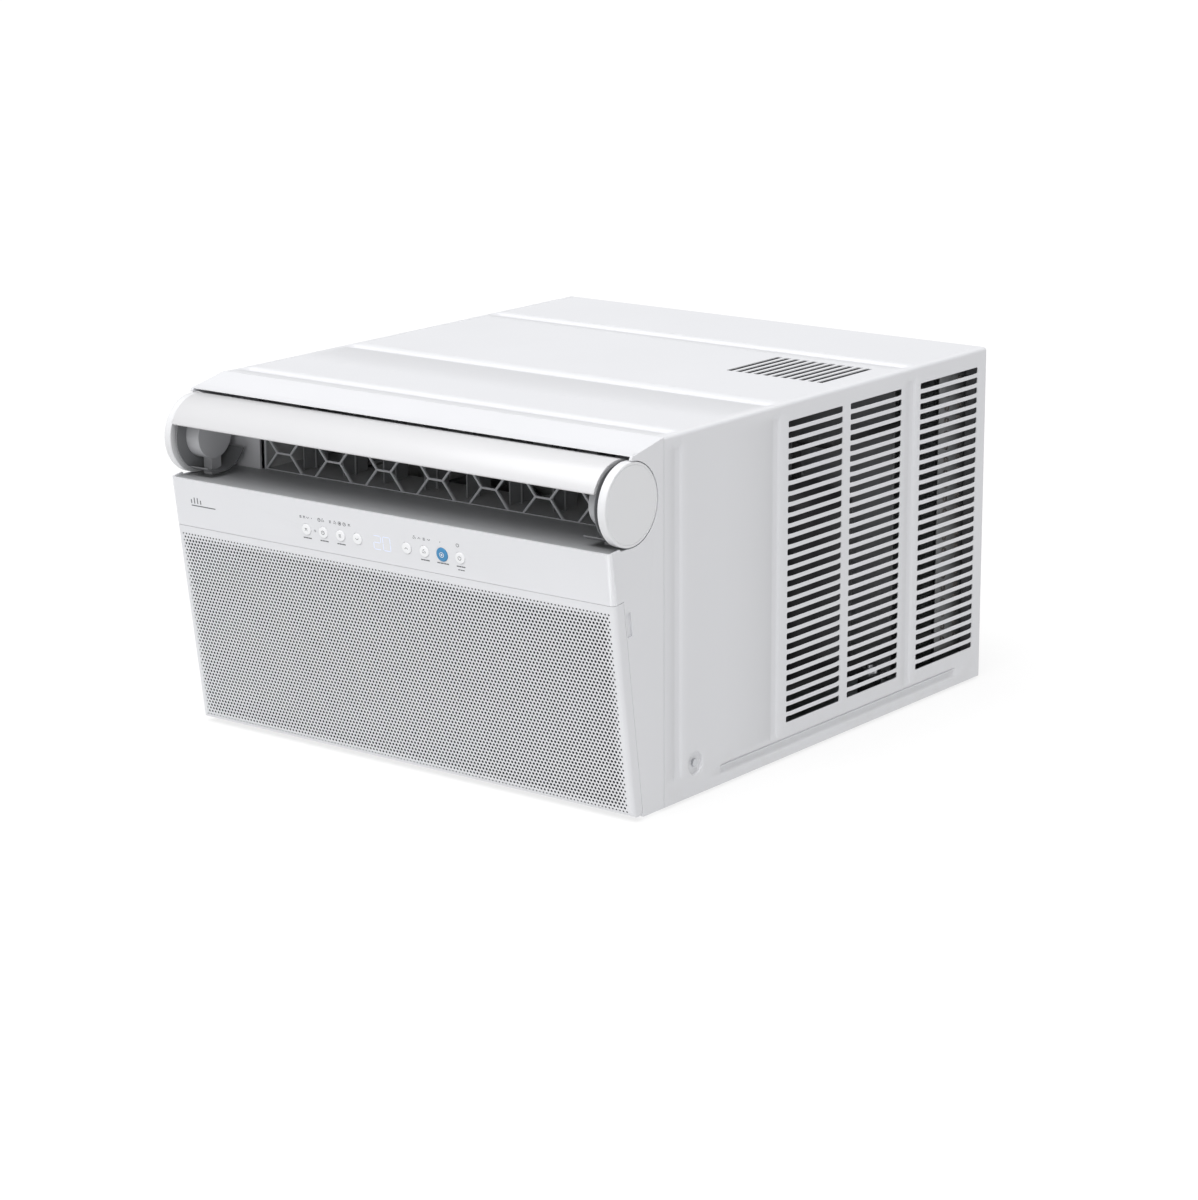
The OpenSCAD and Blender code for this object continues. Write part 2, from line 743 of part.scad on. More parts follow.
module fan_shroud() {
    plate_y = coil_back[0] - 18;
    collar_r = fan_r + 6;
    low = [-half_w + 12, base_z + 5];
    high = [half_w - 62, top_z - 11];
    color(dark_grey) difference() {
        union() {
            along_y(plate_y, plate_y + 2.5) translate(low) square(high - low);
            rod_y([shaft[0], fan_front - 8, shaft[1]], plate_y - fan_front + 9, collar_r + 3);
        }
        rod_y([shaft[0], fan_front - 9, shaft[1]], 100, collar_r);
    }
}

module condenser() {
    low = [-half_w + 18, coil_back[0], base_z + 5];
    high = [half_w - 18, coil_back[1], top_z - 13];
    color("lightgray") {
        block(low, high);
        for (x = [low.x - 1.5, high.x]) block([x, low.y - 2, low.z], [x + 1.5, high.y + 2, high.z]);
    }
}

// Places around the compressor where its three feet stand
foot_ring = 78;
foot_angles = [30, 150, 270];

module at_feet() {
    for (a = foot_angles) translate([compressor_at[0] + foot_ring * cos(a), compressor_at[1] + foot_ring * sin(a), 0]) children();
}

module compressor() {
    low = base_z + 37;
    wall_top = base_z + 222;
    dome = 80;
    color(black) translate([compressor_at[0], compressor_at[1], 0]) {
        rod_z([0, 0, low], wall_top - low, compressor_r);
        intersection() {
            translate([0, 0, wall_top - sqrt(dome * dome - compressor_r * compressor_r)]) sphere(dome);
            rod_z([0, 0, wall_top - 1], 60, compressor_r);
        }
        difference() {
            for (a = foot_angles) rotate(a) block([0, -14, low], [foot_ring + 12, 14, low + 4]);
            for (a = foot_angles) rotate(a) rod_z([foot_ring, 0, low - 1], 6, 5);
        }
    }
}

module compressor_grommets() {
    color(black) at_feet() difference() {
        rod_z([0, 0, pan_top + 0.1], base_z + 37 - pan_top - 0.2, 12);
        rod_z([0, 0, 0], 60, 4.5);
    }
}

module compressor_studs() {
    color(steel) at_feet() {
        rod_z([0, 0, pan_top + 0.05], base_z + 50 - pan_top, 4);
        rod_z([0, 0, base_z + 41.2], 6, 9);
    }
}

module accumulator() {
    r = 24;
    low = base_z + 80;
    high = base_z + 195;
    color(black) translate([accumulator_at[0], accumulator_at[1], 0]) {
        rod_z([0, 0, low], high - low, r);
        for (z = [low, high]) translate([0, 0, z]) sphere(r);
    }
}

module suction_line() {
    run_z = base_z + 233;
    x = 172;
    color(copper) pipe([
        [162, seam_y + 32, run_z], [x, seam_y + 32, run_z], [x, seam_y + 230, run_z],
        [accumulator_at[0], seam_y + 230, run_z], [accumulator_at[0], accumulator_at[1], run_z],
        [accumulator_at[0], accumulator_at[1], base_z + 219.2]], 6);
}

module discharge_line() {
    run_z = base_z + 287;
    x = half_w - 45;
    color(copper) pipe([
        [compressor_at[0], compressor_at[1], base_z + 247.5], [compressor_at[0], compressor_at[1], run_z],
        [x, compressor_at[1], run_z], [x, coil_back[0] - 0.3, run_z]], 5);
}

valve_at = [168, seam_y + 200, base_z + 57];

module liquid_line() {
    x = half_w - 24;
    color(copper) pipe([
        [x, coil_back[0] - 0.3, valve_at.z], [x, valve_at.y, valve_at.z], [valve_at.x + 11.2, valve_at.y, valve_at.z]], 4);
}

module feed_line() {
    color(copper) pipe([
        [valve_at.x, valve_at.y - 11.2, valve_at.z], [valve_at.x, seam_y + 32, valve_at.z], [162, seam_y + 32, valve_at.z]], 4);
}

module expansion_valve() {
    color("goldenrod") {
        block(valve_at - [11, 11, 14], valve_at + [11, 11, 20]);
        rod_z(valve_at + [0, 0, 19], 30, 10);
    }
}

// ---- electrics ----

box_low = [180, seam_y + 4, base_z + 25];
box_high = [half_w - 16, seam_y + 148, base_z + 237];

module control_box() {
    color(steel) difference() {
        block(box_low, box_high);
        block(box_low + [1.2, 1.2, 1.2], box_high - [1.2, 1.2, 1.2]);
        rod_y([box_low.x + 20, box_low.y - 1, box_high.z - 30], 4, 8);
    }
}

module main_board() {
    board = box_low + [14, 8, 12];
    color("darkgreen") {
        block(board, board + [1.6, 126, 186]);
        block(board + [1.5, 20, 20], board + [40, 70, 80]);
        for (y = [30, 66, 100]) rod_x(board + [1.5, y, 140], 36, 14);
    }
}

module cord_gland() {
    at = [seam_y - 21, base_z + 42];
    color(black) difference() {
        union() {
            rod_x([-half_w + 0.1, at[0], at[1]], 12, 7.9);
            rod_x([-half_w + 3.2, at[0], at[1]], 3, 10.5);
        }
        rod_x([-half_w - 1, at[0], at[1]], 20, 4.2);
    }
}

blue = [0.25, 0.57, 0.78];
left_names = ["button_down", "button_mode", "button_timer", "button_swing"];
right_names = ["button_up", "button_fan", "button_clean", "button_power"];

cabinet();
base_pan();
base_pads();
cabinet_screws();
rear_guard();
front_bezel();
display_board();
display_module();
for (i = [0:3]) button(-button_inner - i * button_pitch, button_r, white);
for (i = [0:3]) button(button_inner + i * button_pitch, i == 2 ? big_button_r : button_r, i == 2 ? blue : white);
intake_grille();
filter_frame();
filter_mesh();
louver_shell();
louver_hub(-1);  // louver_hub_left
louver_hub(1);  // louver_hub_right
side_disc(-1);  // side_disc_left
side_disc(1);  // side_disc_right
louver_motor();
outlet_guard();
outlet_duct();
for (i = [1:vane_count]) vane(i);
vane_link();
vane_motor();
evaporator();
drain_tray();
blower_scroll();
blower_wheel();
bulkhead();
fan_motor();
motor_bracket();
fan_shaft();
condenser_fan();
fan_shroud();
condenser();
compressor();
accumulator();
compressor_grommets();
compressor_studs();
suction_line();
discharge_line();
liquid_line();
feed_line();
expansion_valve();
control_box();
main_board();
cord_gland();
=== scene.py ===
import json
import math

import bmesh
import bpy
from mathutils import Matrix, Vector

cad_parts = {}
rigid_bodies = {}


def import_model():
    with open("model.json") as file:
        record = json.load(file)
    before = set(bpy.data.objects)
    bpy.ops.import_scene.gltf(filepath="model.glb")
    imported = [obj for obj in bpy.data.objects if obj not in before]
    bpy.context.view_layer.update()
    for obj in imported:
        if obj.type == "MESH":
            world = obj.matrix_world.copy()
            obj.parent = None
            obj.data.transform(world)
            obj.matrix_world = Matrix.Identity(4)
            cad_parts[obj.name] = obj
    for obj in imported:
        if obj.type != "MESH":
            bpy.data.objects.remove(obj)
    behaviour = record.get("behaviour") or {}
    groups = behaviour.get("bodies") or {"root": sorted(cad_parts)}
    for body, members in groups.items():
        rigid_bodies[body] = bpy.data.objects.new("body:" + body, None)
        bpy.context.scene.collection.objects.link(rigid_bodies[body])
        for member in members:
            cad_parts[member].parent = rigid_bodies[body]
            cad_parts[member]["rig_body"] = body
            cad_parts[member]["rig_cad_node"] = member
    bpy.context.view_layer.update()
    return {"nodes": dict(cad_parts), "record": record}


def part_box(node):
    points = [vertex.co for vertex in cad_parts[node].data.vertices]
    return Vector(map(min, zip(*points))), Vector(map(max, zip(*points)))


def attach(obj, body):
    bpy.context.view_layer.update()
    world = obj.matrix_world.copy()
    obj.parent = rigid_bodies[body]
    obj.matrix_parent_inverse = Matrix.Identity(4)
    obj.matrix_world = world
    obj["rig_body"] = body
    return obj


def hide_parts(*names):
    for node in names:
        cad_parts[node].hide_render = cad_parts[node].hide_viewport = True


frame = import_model()
nodes = frame["nodes"]

# ---- measures, in millimetres ----


def node_box(node):
    """The lowest and the highest corner of a CAD node, in millimetres."""
    low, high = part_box(node)
    return low * 1000, high * 1000


cabinet_low, cabinet_high = node_box("cabinet")
half_w = cabinet_high.x
seam_y = cabinet_low.y
rear_y = cabinet_high.y
base_z = cabinet_low.z
top_z = cabinet_high.z
bend_r = 4

disc_low, disc_high = node_box("side_disc_right")
tube_y = (disc_low.y + disc_high.y) / 2
tube_z = (disc_low.z + disc_high.z) / 2
tube_r = 41
hub_r = 23.6

# The leaning front: its foot, how far it leans, and its length along the slope
face_y = seam_y - 47.5
lean = math.atan2(36, 264)
face_len = math.hypot(36, 264)
button_s = face_len - 30.2

bead_ys = [seam_y + 21.5, seam_y + 182.3, seam_y + 426.3]
columns = [(-37.0, 58.7), (72.2, 166.7), (202.1, 314.3)]
slot_z = base_z + 38.5
slot_pitch = 10.7
slot_h = 6.4
slot_count = 29
vent_y = (seam_y + 304, seam_y + 397)
vent_x = 133.4
vent_pitch = 11.06
vent_w = 6.8
vent_count = 11
dimple = Vector((half_w, seam_y + 51, base_z + 32))

# ---- working by hand ----


def only(obj):
    """Selects one object and makes it the one that is worked on."""
    bpy.ops.object.select_all(action="DESELECT")
    obj.select_set(True)
    bpy.context.view_layer.objects.active = obj


def edit(obj):
    """Opens a mesh for editing, with all of it selected."""
    only(obj)
    bpy.ops.object.mode_set(mode="EDIT")
    bpy.ops.mesh.select_all(action="SELECT")


def close():
    """Ends the editing of a mesh."""
    bpy.ops.object.mode_set(mode="OBJECT")


def pick(kind, test):
    """Selects the open mesh's points, edges or faces whose place (mm) and normal pass the test."""
    bpy.ops.mesh.select_mode(type=kind)
    bpy.ops.mesh.select_all(action="DESELECT")
    mesh = bmesh.from_edit_mesh(bpy.context.object.data)
    parts = {"VERT": mesh.verts, "EDGE": mesh.edges, "FACE": mesh.faces}[kind]
    found = 0
    for part in parts:
        if kind == "VERT":
            place, normal = part.co, part.normal
        elif kind == "EDGE":
            place, normal = (part.verts[0].co + part.verts[1].co) / 2, None
        else:
            place, normal = part.calc_center_median(), part.normal
        if test(place * 1000, normal):
            part.select_set(True)
            found += 1
    bmesh.update_edit_mesh(bpy.context.object.data)
    return found


def cut(axis, places):
    """Cuts the open mesh across an axis at each place."""
    normal = Vector((0, 0, 0))
    normal["xyz".index(axis)] = 1
    for place in places:
        bpy.ops.mesh.select_all(action="SELECT")
        bpy.ops.mesh.bisect(plane_co=normal * place / 1000, plane_no=normal)


def drop(kind, test):
    """Deletes the picked points, edges or faces of the open mesh."""
    if pick(kind, test):
        bpy.ops.mesh.delete(type=kind)


def push(test, shift):
    """Moves the picked points of the open mesh."""
    if pick("VERT", test):
        bpy.ops.transform.translate(value=Vector(shift) / 1000)


def settle(obj, name=None):
    """Puts an object's place, turn and size into its mesh."""
    only(obj)
    bpy.ops.object.transform_apply(location=True, rotation=True, scale=True)
    if name:
        obj.name = name
        obj.data.name = name
    return obj


def sheet(name, axis, at, low, high):
    """A flat rectangle across an axis; its corners are given in the other two directions, in order."""
    middle = (Vector(low) + Vector(high)) / 2
    size = Vector(high) - Vector(low)
    turn = {"x": (math.pi / 2, 0, math.pi / 2), "y": (math.pi / 2, 0, 0), "z": (0, 0, 0)}[axis]
    place = {
        "x": (at, middle.x, middle.y),
        "y": (middle.x, at, middle.y),
        "z": (middle.x, middle.y, at),
    }[axis]
    bpy.ops.object.select_all(action="DESELECT")
    bpy.ops.mesh.primitive_plane_add(
        size=1,
        location=Vector(place) / 1000,
        rotation=turn,
        scale=(size.x / 1000, size.y / 1000, 1),
    )
    obj = bpy.context.object
    only(obj)
    obj.scale = (size.x / 1000, size.y / 1000, 1)
    return settle(obj, name)


def slab(name, low, high):
    """A box between two corners."""
    bpy.ops.object.select_all(action="DESELECT")
    bpy.ops.mesh.primitive_cube_add(size=1, location=(Vector(low) + Vector(high)) / 2000)
    obj = bpy.context.object
    obj.scale = (Vector(high) - Vector(low)) / 1000
    return settle(obj, name)


def ring(name, at, radius, sides, turn=(0, 0, 0)):
    """A round outline with no face."""
    bpy.ops.object.select_all(action="DESELECT")
    bpy.ops.mesh.primitive_circle_add(
        vertices=sides,
        radius=radius / 1000,
        fill_type="NOTHING",
        location=Vector(at) / 1000,
        rotation=turn,
    )
    return settle(bpy.context.object, name)


def draw(name, places, closed=True):
    """Draws a line through places, point by point, and fills it if it is closed. The mesh stays open."""
    places = [Vector(p) for p in places]
    bpy.ops.object.select_all(action="DESELECT")
    bpy.ops.mesh.primitive_plane_add(size=0.001, location=places[0] / 1000)
    obj = settle(bpy.context.object, name)
    edit(obj)
    bpy.ops.mesh.select_mode(type="VERT")
    bpy.ops.mesh.merge(type="CENTER")
    for start, end in zip(places, places[1:]):
        bpy.ops.mesh.extrude_region_move(TRANSFORM_OT_translate={"value": (end - start) / 1000})
    if closed:
        first, last = places[0], places[-1]
        pick("VERT", lambda p, n: (p - first).length < 1e-3 or (p - last).length < 1e-3)
        bpy.ops.mesh.edge_face_add()
        bpy.ops.mesh.select_all(action="SELECT")
        bpy.ops.mesh.edge_face_add()
    return obj


def drawn_out(name, outline, shift):
    """A solid with a drawn outline at one end, drawn out to the other."""
    obj = draw(name, outline)
    bpy.ops.mesh.select_all(action="SELECT")
    bpy.ops.mesh.extrude_region_move(TRANSFORM_OT_translate={"value": Vector(shift) / 1000})
    outwards()
    close()
    return obj


def spun(name, profile, centre, axis, sides=48):
    """A turned solid: its profile, drawn in place, spun once round an axis."""
    obj = draw(name, profile, closed=False)
    bpy.ops.mesh.select_all(action="SELECT")
    bpy.ops.mesh.spin(
        steps=sides,
        angle=2 * math.pi,
        center=Vector(centre) / 1000,
        axis=axis,
    )
    bpy.ops.mesh.select_all(action="SELECT")
    bpy.ops.mesh.remove_doubles(threshold=0.00002)
    outwards()
    close()
    return obj


def outwards():
    """Turns the faces of the open mesh outwards."""
    bpy.ops.mesh.select_all(action="SELECT")
    bpy.ops.mesh.normals_make_consistent(inside=False)


def apply(obj, kind, **settings):
    """Adds a modifier, sets it and applies it."""
    made = obj.modifiers.new(kind.title(), kind)
    for key, value in settings.items():
        setattr(made, key, value)
    only(obj)
    bpy.ops.object.modifier_apply(modifier=made.name)


def rowed(obj, count, step, **settings):
    """Repeats a mesh in a row, at steps in millimetres."""
    apply(
        obj,
        "ARRAY",
        count=count,
        use_relative_offset=False,
        use_constant_offset=True,
        constant_offset_displace=Vector(step) / 1000,
        **settings,
    )


def rounded(obj, width, segments=2, fold=30):
    """Rounds the edges that fold by more than an angle."""
    apply(
        obj,
        "BEVEL",
        width=width / 1000,
        segments=segments,
        limit_method="ANGLE",
        angle_limit=math.radians(fold),
        miter_outer="MITER_ARC",
    )


def smooth(obj, fold=38):
    """Shades a mesh smooth, except across sharp folds."""
    only(obj)
    bpy.ops.object.shade_smooth_by_angle(angle=math.radians(fold))


def flattened(obj, breadth=5):
    """Weights a mesh's normals by its faces, and gives each broad flat its own normal all over."""
    apply(obj, "WEIGHTED_NORMAL", keep_sharp=True, weight=80)
    normals = [Vector(corner.vector) for corner in obj.data.corner_normals]
    points = obj.data.vertices
    for face in obj.data.polygons:
        ring_round = [points[i].co for i in face.vertices]
        girth = sum((a - b).length for a, b in zip(ring_round, ring_round[1:] + ring_round[:1]))
        if 2 * face.area > girth * breadth / 1000:
            for corner in face.loop_indices:
                normals[corner] = face.normal.copy()
    obj.data.normals_split_custom_set(normals)


def joined(name, *parts):
    """Makes one object of several."""
    bpy.ops.object.select_all(action="DESELECT")
    for part in parts:
        part.select_set(True)
    bpy.context.view_layer.objects.active = parts[0]
    if len(parts) > 1:
        bpy.ops.object.join()
    parts[0].name = name
    parts[0].data.name = name
    return parts[0]


def copied(obj, name, shift=(0, 0, 0), matrix=None):
    """A copy with its own mesh, moved in its mesh."""
    twin = obj.copy()
    twin.data = obj.data.copy()
    twin.name = name
    twin.data.name = name
    bpy.context.scene.collection.objects.link(twin)
    twin.data.transform(matrix or Matrix.Translation(Vector(shift) / 1000))
    return twin


def mirrored(obj, name):
    """A copy on the other side of the object's middle."""
    twin = copied(obj, name, matrix=Matrix.Scale(-1, 4, (1, 0, 0)))
    edit(twin)
    bpy.ops.mesh.flip_normals()
    close()
    return twin


def lifted(node, name, turn=None):
    """A loose copy of a CAD node, left open for editing, merged and with its flats made whole."""
    twin = copied(nodes[node], name, matrix=turn)
    twin.parent = None
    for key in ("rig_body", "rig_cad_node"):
        del twin[key]
    edit(twin)
    bpy.ops.mesh.remove_doubles(threshold=0.00001)
    bpy.ops.mesh.dissolve_limited(angle_limit=math.radians(0.5))
    return twin


def eased(obj, edge):
    """Rounds a piece's edges and shades it, its flats staying flat."""
    rounded(obj, edge)
    smooth(obj)
    flattened(obj)


def remade(node, name, edge):
    """A copy of a CAD node's mesh with its edges rounded."""
    twin = lifted(node, name)
    close()
    eased(twin, edge)
    return twin


def finished(obj, body, finish, slot, *stands_for):
    """Gives a piece its finish and its body, and hides the CAD nodes that it stands for. Its slot is not
    used.
    """
    obj.data.materials.clear()
    obj.data.materials.append(finish)
    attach(obj, body)
    if stands_for:
        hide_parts(*stands_for)
    return obj


face_frame = Matrix(
    (
        (1, 0, 0, 0),
        (0, math.cos(lean), -math.sin(lean), face_y / 1000),
        (0, math.sin(lean), math.cos(lean), base_z / 1000),
        (0, 0, 0, 1),
    )
)


def on_face(obj):
    """Carries a piece drawn in face terms (across, inwards, up the slope) to its place."""
    obj.data.transform(face_frame)
    obj.data.update()
    return obj


# ---- finishes ----


class Flow:
    """A number that runs through a finish's nodes and takes part in plain sums."""

    def __init__(self, finish, socket):
        self.finish = finish
        self.socket = socket

    def sum(self, operation, *values):
        return self.finish.node("Math", {"operation": operation}, dict(enumerate(values)))

    def __add__(self, other):
        return self.sum("ADD", self, other)

    def __radd__(self, other):
        return self.sum("ADD", other, self)

    def __sub__(self, other):
        return self.sum("SUBTRACT", self, other)

    def __rsub__(self, other):
        return self.sum("SUBTRACT", other, self)

    def __mul__(self, other):
        return self.sum("MULTIPLY", self, other)

    def __rmul__(self, other):
        return self.sum("MULTIPLY", other, self)

    def __gt__(self, other):
        return self.sum("GREATER_THAN", self, other)

    def wave(self):
        return self.sum("SINE", self)

    def ramp(self, low, high):
        """0 below low, 1 above high."""
        return self.finish.node(
            "MapRange",
            {"clamp": True, "interpolation_type": "SMOOTHSTEP"},
            {"Value": self, "From Min": low, "From Max": high},
        )


class Finish:
    """A material built from nodes. Its constants sit on the shader's own sockets."""

    def __init__(self, name, **constants):
        self.material = bpy.data.materials.new(name)
        self.material.use_nodes = True
        self.tree = self.material.node_tree
        self.shader = self.tree.nodes["Principled BSDF"]
        self.place = self.node("TexCoord", {}, {}, "Object")
        self.feed(self.shader, constants)

    def feed(self, node, sockets):
        for key, value in sockets.items():
            socket = node.inputs[key.replace("_", " ") if isinstance(key, str) else key]
            if isinstance(value, Flow):
                self.tree.links.new(value.socket, socket)
            else:
                socket.default_value = value

    def node(self, kind, settings, sockets, out=0):
        """Adds a node: its type, its settings, then the values or links of its sockets."""
        made = self.tree.nodes.new("ShaderNode" + kind)
        for key, value in settings.items():
            setattr(made, key, value)
        self.feed(made, sockets)
        return Flow(self, made.outputs[out])

    def noise(self, per_mm, detail=2.0, stretch=(1, 1, 1)):
        where = self.node("Mapping", {}, {"Vector": self.place, "Scale": stretch})
        return self.node(
            "TexNoise",
            {},
            {"Vector": where, "Scale": per_mm * 1000, "Detail": detail, "Roughness": 0.55},
        )

    def cells(self, per_mm, feature="F1", out="Distance"):
        return self.node(
            "TexVoronoi",
            {"feature": feature},
            {"Vector": self.place, "Scale": per_mm * 1000},
            out,
        )

    def axis(self, name):
        """One of the three directions, in millimetres."""
        return self.node("SeparateXYZ", {}, {0: self.place}, name) * 1000

    def blend(self, factor, low, high):
        """Two colours mixed by a number."""
        made = self.tree.nodes.new("ShaderNodeMix")
        made.data_type = "RGBA"
        self.feed(made, {0: factor})
        for socket, value in ((made.inputs[6], low), (made.inputs[7], high)):
            if isinstance(value, Flow):
                self.tree.links.new(value.socket, socket)
            else:
                socket.default_value = (*value, 1)
        return Flow(self, made.outputs[2])

    def relief(self, height, depth_mm, strength=1.0):
        """A bump from a height of 0 to 1."""
        return self.node(
            "Bump",
            {},
            {"Height": height, "Distance": depth_mm / 1000, "Strength": strength},
        )

    def set(self, **sockets):
        self.feed(self.shader, sockets)
        return self.material


def tone(colour, by):
    return tuple(min(1.0, c * by) for c in colour)


def moulded(name, colour, rough=0.36, grain=0.03, cloud=0.03, gloss=0.5, **more):
    """Moulded plastic: spark-eroded grain, a slight cloudiness, and patches rubbed smoother."""
    made = Finish(name, Specular_IOR_Level=gloss, **more)
    broad = made.noise(0.012, 3.0)
    fine = made.noise(1.6, 2.0)
    rubbed = made.noise(0.035, 4.0).ramp(0.56, 0.74)
    shade = broad * 0.7 + fine * 0.3
    return made.set(
        Base_Color=made.blend(shade, tone(colour, 1 - cloud), tone(colour, 1 + cloud)),
        Roughness=rough + 0.06 * (fine - 0.5) - 0.025 * rubbed,
        Normal=made.relief(fine, grain),
    )


def airway():
    """The air duct's plastic: a smooth dark floor in front of the guard, a greyer rough one behind it."""
    made = Finish("duct_plastic", Specular_IOR_Level=0.4)
    broad = made.noise(0.012, 3.0)
    fine = made.noise(1.6, 2.0)
    behind = made.axis("Y").ramp(seam_y + 0.5, seam_y + 2)
    floor_tone = made.blend(broad, (0.34, 0.345, 0.355), (0.37, 0.377, 0.387))
    return made.set(
        Base_Color=made.blend(behind, floor_tone, (0.46, 0.465, 0.47)),
        Roughness=0.46 + 0.06 * fine + 0.15 * behind,
        Normal=made.relief(fine, 0.04),
    )


def enamelled(name, colour, rough=0.42, peel=0.05):
    """Stoved paint on sheet steel: orange peel, faint dust low down, and specks."""
    made = Finish(name, Specular_IOR_Level=0.25, Coat_Weight=0.04, Coat_Roughness=0.25)
    broad = made.noise(0.006, 3.0)
    wavy = made.noise(0.45, 2.0)
    specks = 1 - made.cells(0.16).ramp(0.05, 0.11)
    low = 1 - made.axis("Z").ramp(4, 60)
    dust = low * made.noise(0.05, 4.0).ramp(0.42, 0.68)
    paint = made.blend(broad, tone(colour, 0.975), tone(colour, 1.02))
    speckled = made.blend(specks * 0.06, paint, tone(colour, 0.6))
    return made.set(
        Base_Color=made.blend(dust * 0.10, speckled, (0.56, 0.54, 0.50)),
        Roughness=rough + 0.12 * (wavy - 0.5) + 0.1 * dust,
        Normal=made.relief(wavy * 0.8 + made.noise(2.2) * 0.2, peel),
    )


def bare_metal(name, colour, rough=0.32, brush=(1, 1, 1), tarnish=(0.3, 0.26, 0.22), amount=0.25):
    """Bare metal: a drawn grain, a dulled film, and small pits."""
    made = Finish(name, Metallic=1.0)
    grain = made.noise(1.2, 3.0, brush)
    film = made.noise(0.03, 4.0).ramp(0.45, 0.75)
    pits = 1 - made.cells(0.5).ramp(0.06, 0.16)
    clean = made.blend(grain, tone(colour, 0.9), tone(colour, 1.08))
    return made.set(
        Base_Color=made.blend(film * amount, clean, tarnish),
        Roughness=rough + 0.18 * (grain - 0.5) + 0.2 * film * amount,
        Normal=made.relief(grain - pits * 0.5, 0.03),
    )


def zinc():
    """Galvanised sheet with its spangle."""
    made = Finish("zinc_sheet", Metallic=0.9)
    spangle = made.cells(0.06, out="Color")
    flakes = made.node("RGBToBW", {}, {0: spangle})
    fine = made.noise(1.5)
    return made.set(
        Base_Color=made.blend(flakes, (0.50, 0.52, 0.54), (0.66, 0.68, 0.70)),
        Roughness=0.34 + 0.16 * flakes + 0.05 * fine,
        Normal=made.relief(fine * 0.3 + flakes * 0.7, 0.02),
    )


def soft_rubber(name, colour, rough=0.8):
    """Rubber or foam: a close pored skin with a pale bloom."""
    made = Finish(name, Specular_IOR_Level=0.3)
    pores = made.cells(1.1)
    bloom = made.noise(0.05, 4.0).ramp(0.5, 0.75)
    return made.set(
        Base_Color=made.blend(bloom * 0.3, colour, tone(colour, 2.2)),
        Roughness=rough - 0.15 * pores,
        Normal=made.relief(pores, 0.12),
    )


def circuit():
    """A green board with copper runs under the lacquer and pads."""
    made = Finish("circuit_board", Specular_IOR_Level=0.5)
    across = (made.axis("X") * 0.9 + made.noise(0.04) * 9).wave()
    along = (made.axis("Z") * 0.9 + made.noise(0.05) * 9).wave()
    runs = (across > 0.72) + (along > 0.8)
    pads = 1 - made.cells(0.22).ramp(0.14, 0.2)
    lacquer = made.blend(runs * 0.5, (0.012, 0.10, 0.035), (0.03, 0.22, 0.07))
    return made.set(
        Base_Color=made.blend(pads, lacquer, (0.72, 0.70, 0.62)),
        Roughness=0.35 + 0.2 * pads,
        Normal=made.relief(runs * 0.5 + pads * 0.5, 0.05),
    )


def woven():
    """The filter's plastic weave: fine threads both ways over a dark ground."""
    made = Finish("filter_weave", Specular_IOR_Level=0.3)
    warp = (made.axis("X") * 5.2).wave()
    weft = (made.axis("Z") * 5.2).wave()
    thread = (warp * 0.5 + weft * 0.5).ramp(-0.5, 0.7)
    lint = made.noise(0.08, 4.0).ramp(0.5, 0.8)
    cloth = made.blend(thread, (0.006, 0.008, 0.010), (0.026, 0.034, 0.042))
    return made.set(
        Base_Color=made.blend(lint * 0.05, cloth, (0.20, 0.19, 0.18)),
        Roughness=0.75 - 0.15 * thread,
        Normal=made.relief(thread, 0.15),
    )


def fin_stock():
    """Thin aluminium fins, seen edge on: close dark stripes that paint the shade in the gaps between fins,
    bent patches and dust.
    """
    made = Finish("coil_fins", Metallic=0.85)
    # Painted shade: dark stripes across X where the gaps between the fins lie in shade
    shaded_gaps = (made.axis("X") * 3.3).wave().ramp(-0.4, 0.5)
    bent = made.noise(0.03, 4.0, (1, 1, 3)).ramp(0.5, 0.72)
    fine = made.noise(1.4)
    bright = made.blend(shaded_gaps, (0.16, 0.17, 0.18), (0.66, 0.68, 0.70))
    return made.set(
        Base_Color=made.blend(bent * 0.35, bright, (0.45, 0.44, 0.42)),
        Roughness=0.4 + 0.2 * bent + 0.06 * fine,
        Normal=made.relief(shaded_gaps * 0.8 + bent * 0.2, 0.2),
    )


def shade_sleeved_copper():
    """Tarnished copper tube, painted black with a pored bump on its long runs near the cabinet's wall, past
    X 150 mm: painted shade where those runs lie in shadow.
    """
    made = Finish("copper_with_painted_shade")
    film = made.noise(0.03, 4.0).ramp(0.4, 0.7)
    pores = made.cells(1.1)
    # Painted shade: black past X 150 mm, where the runs lie in shadow near the wall
    shade_sleeve = made.axis("X").ramp(150, 151)
    metal = made.blend(film * 0.6, (0.60, 0.30, 0.17), (0.20, 0.10, 0.07))
    return made.set(
        Base_Color=made.blend(shade_sleeve, metal, (0.018, 0.018, 0.019)),
        Metallic=1 - shade_sleeve,
        Roughness=0.3 + 0.2 * film + 0.45 * shade_sleeve,
        Normal=made.relief(pores * shade_sleeve, 0.1),
    )


def glowing(name, colour, strength):
    """Light that comes through a diffusing film, a little uneven across it."""
    made = Finish(name, Roughness=0.5)
    spread = made.noise(0.3, 1.0)
    made.shader.inputs["Emission Strength"].default_value = strength
    return made.set(
        Base_Color=made.blend(spread, tone(colour, 0.94), colour),
        Emission_Color=made.blend(spread, tone(colour, 0.94), colour),
        Normal=made.relief(spread, 0.01),
    )


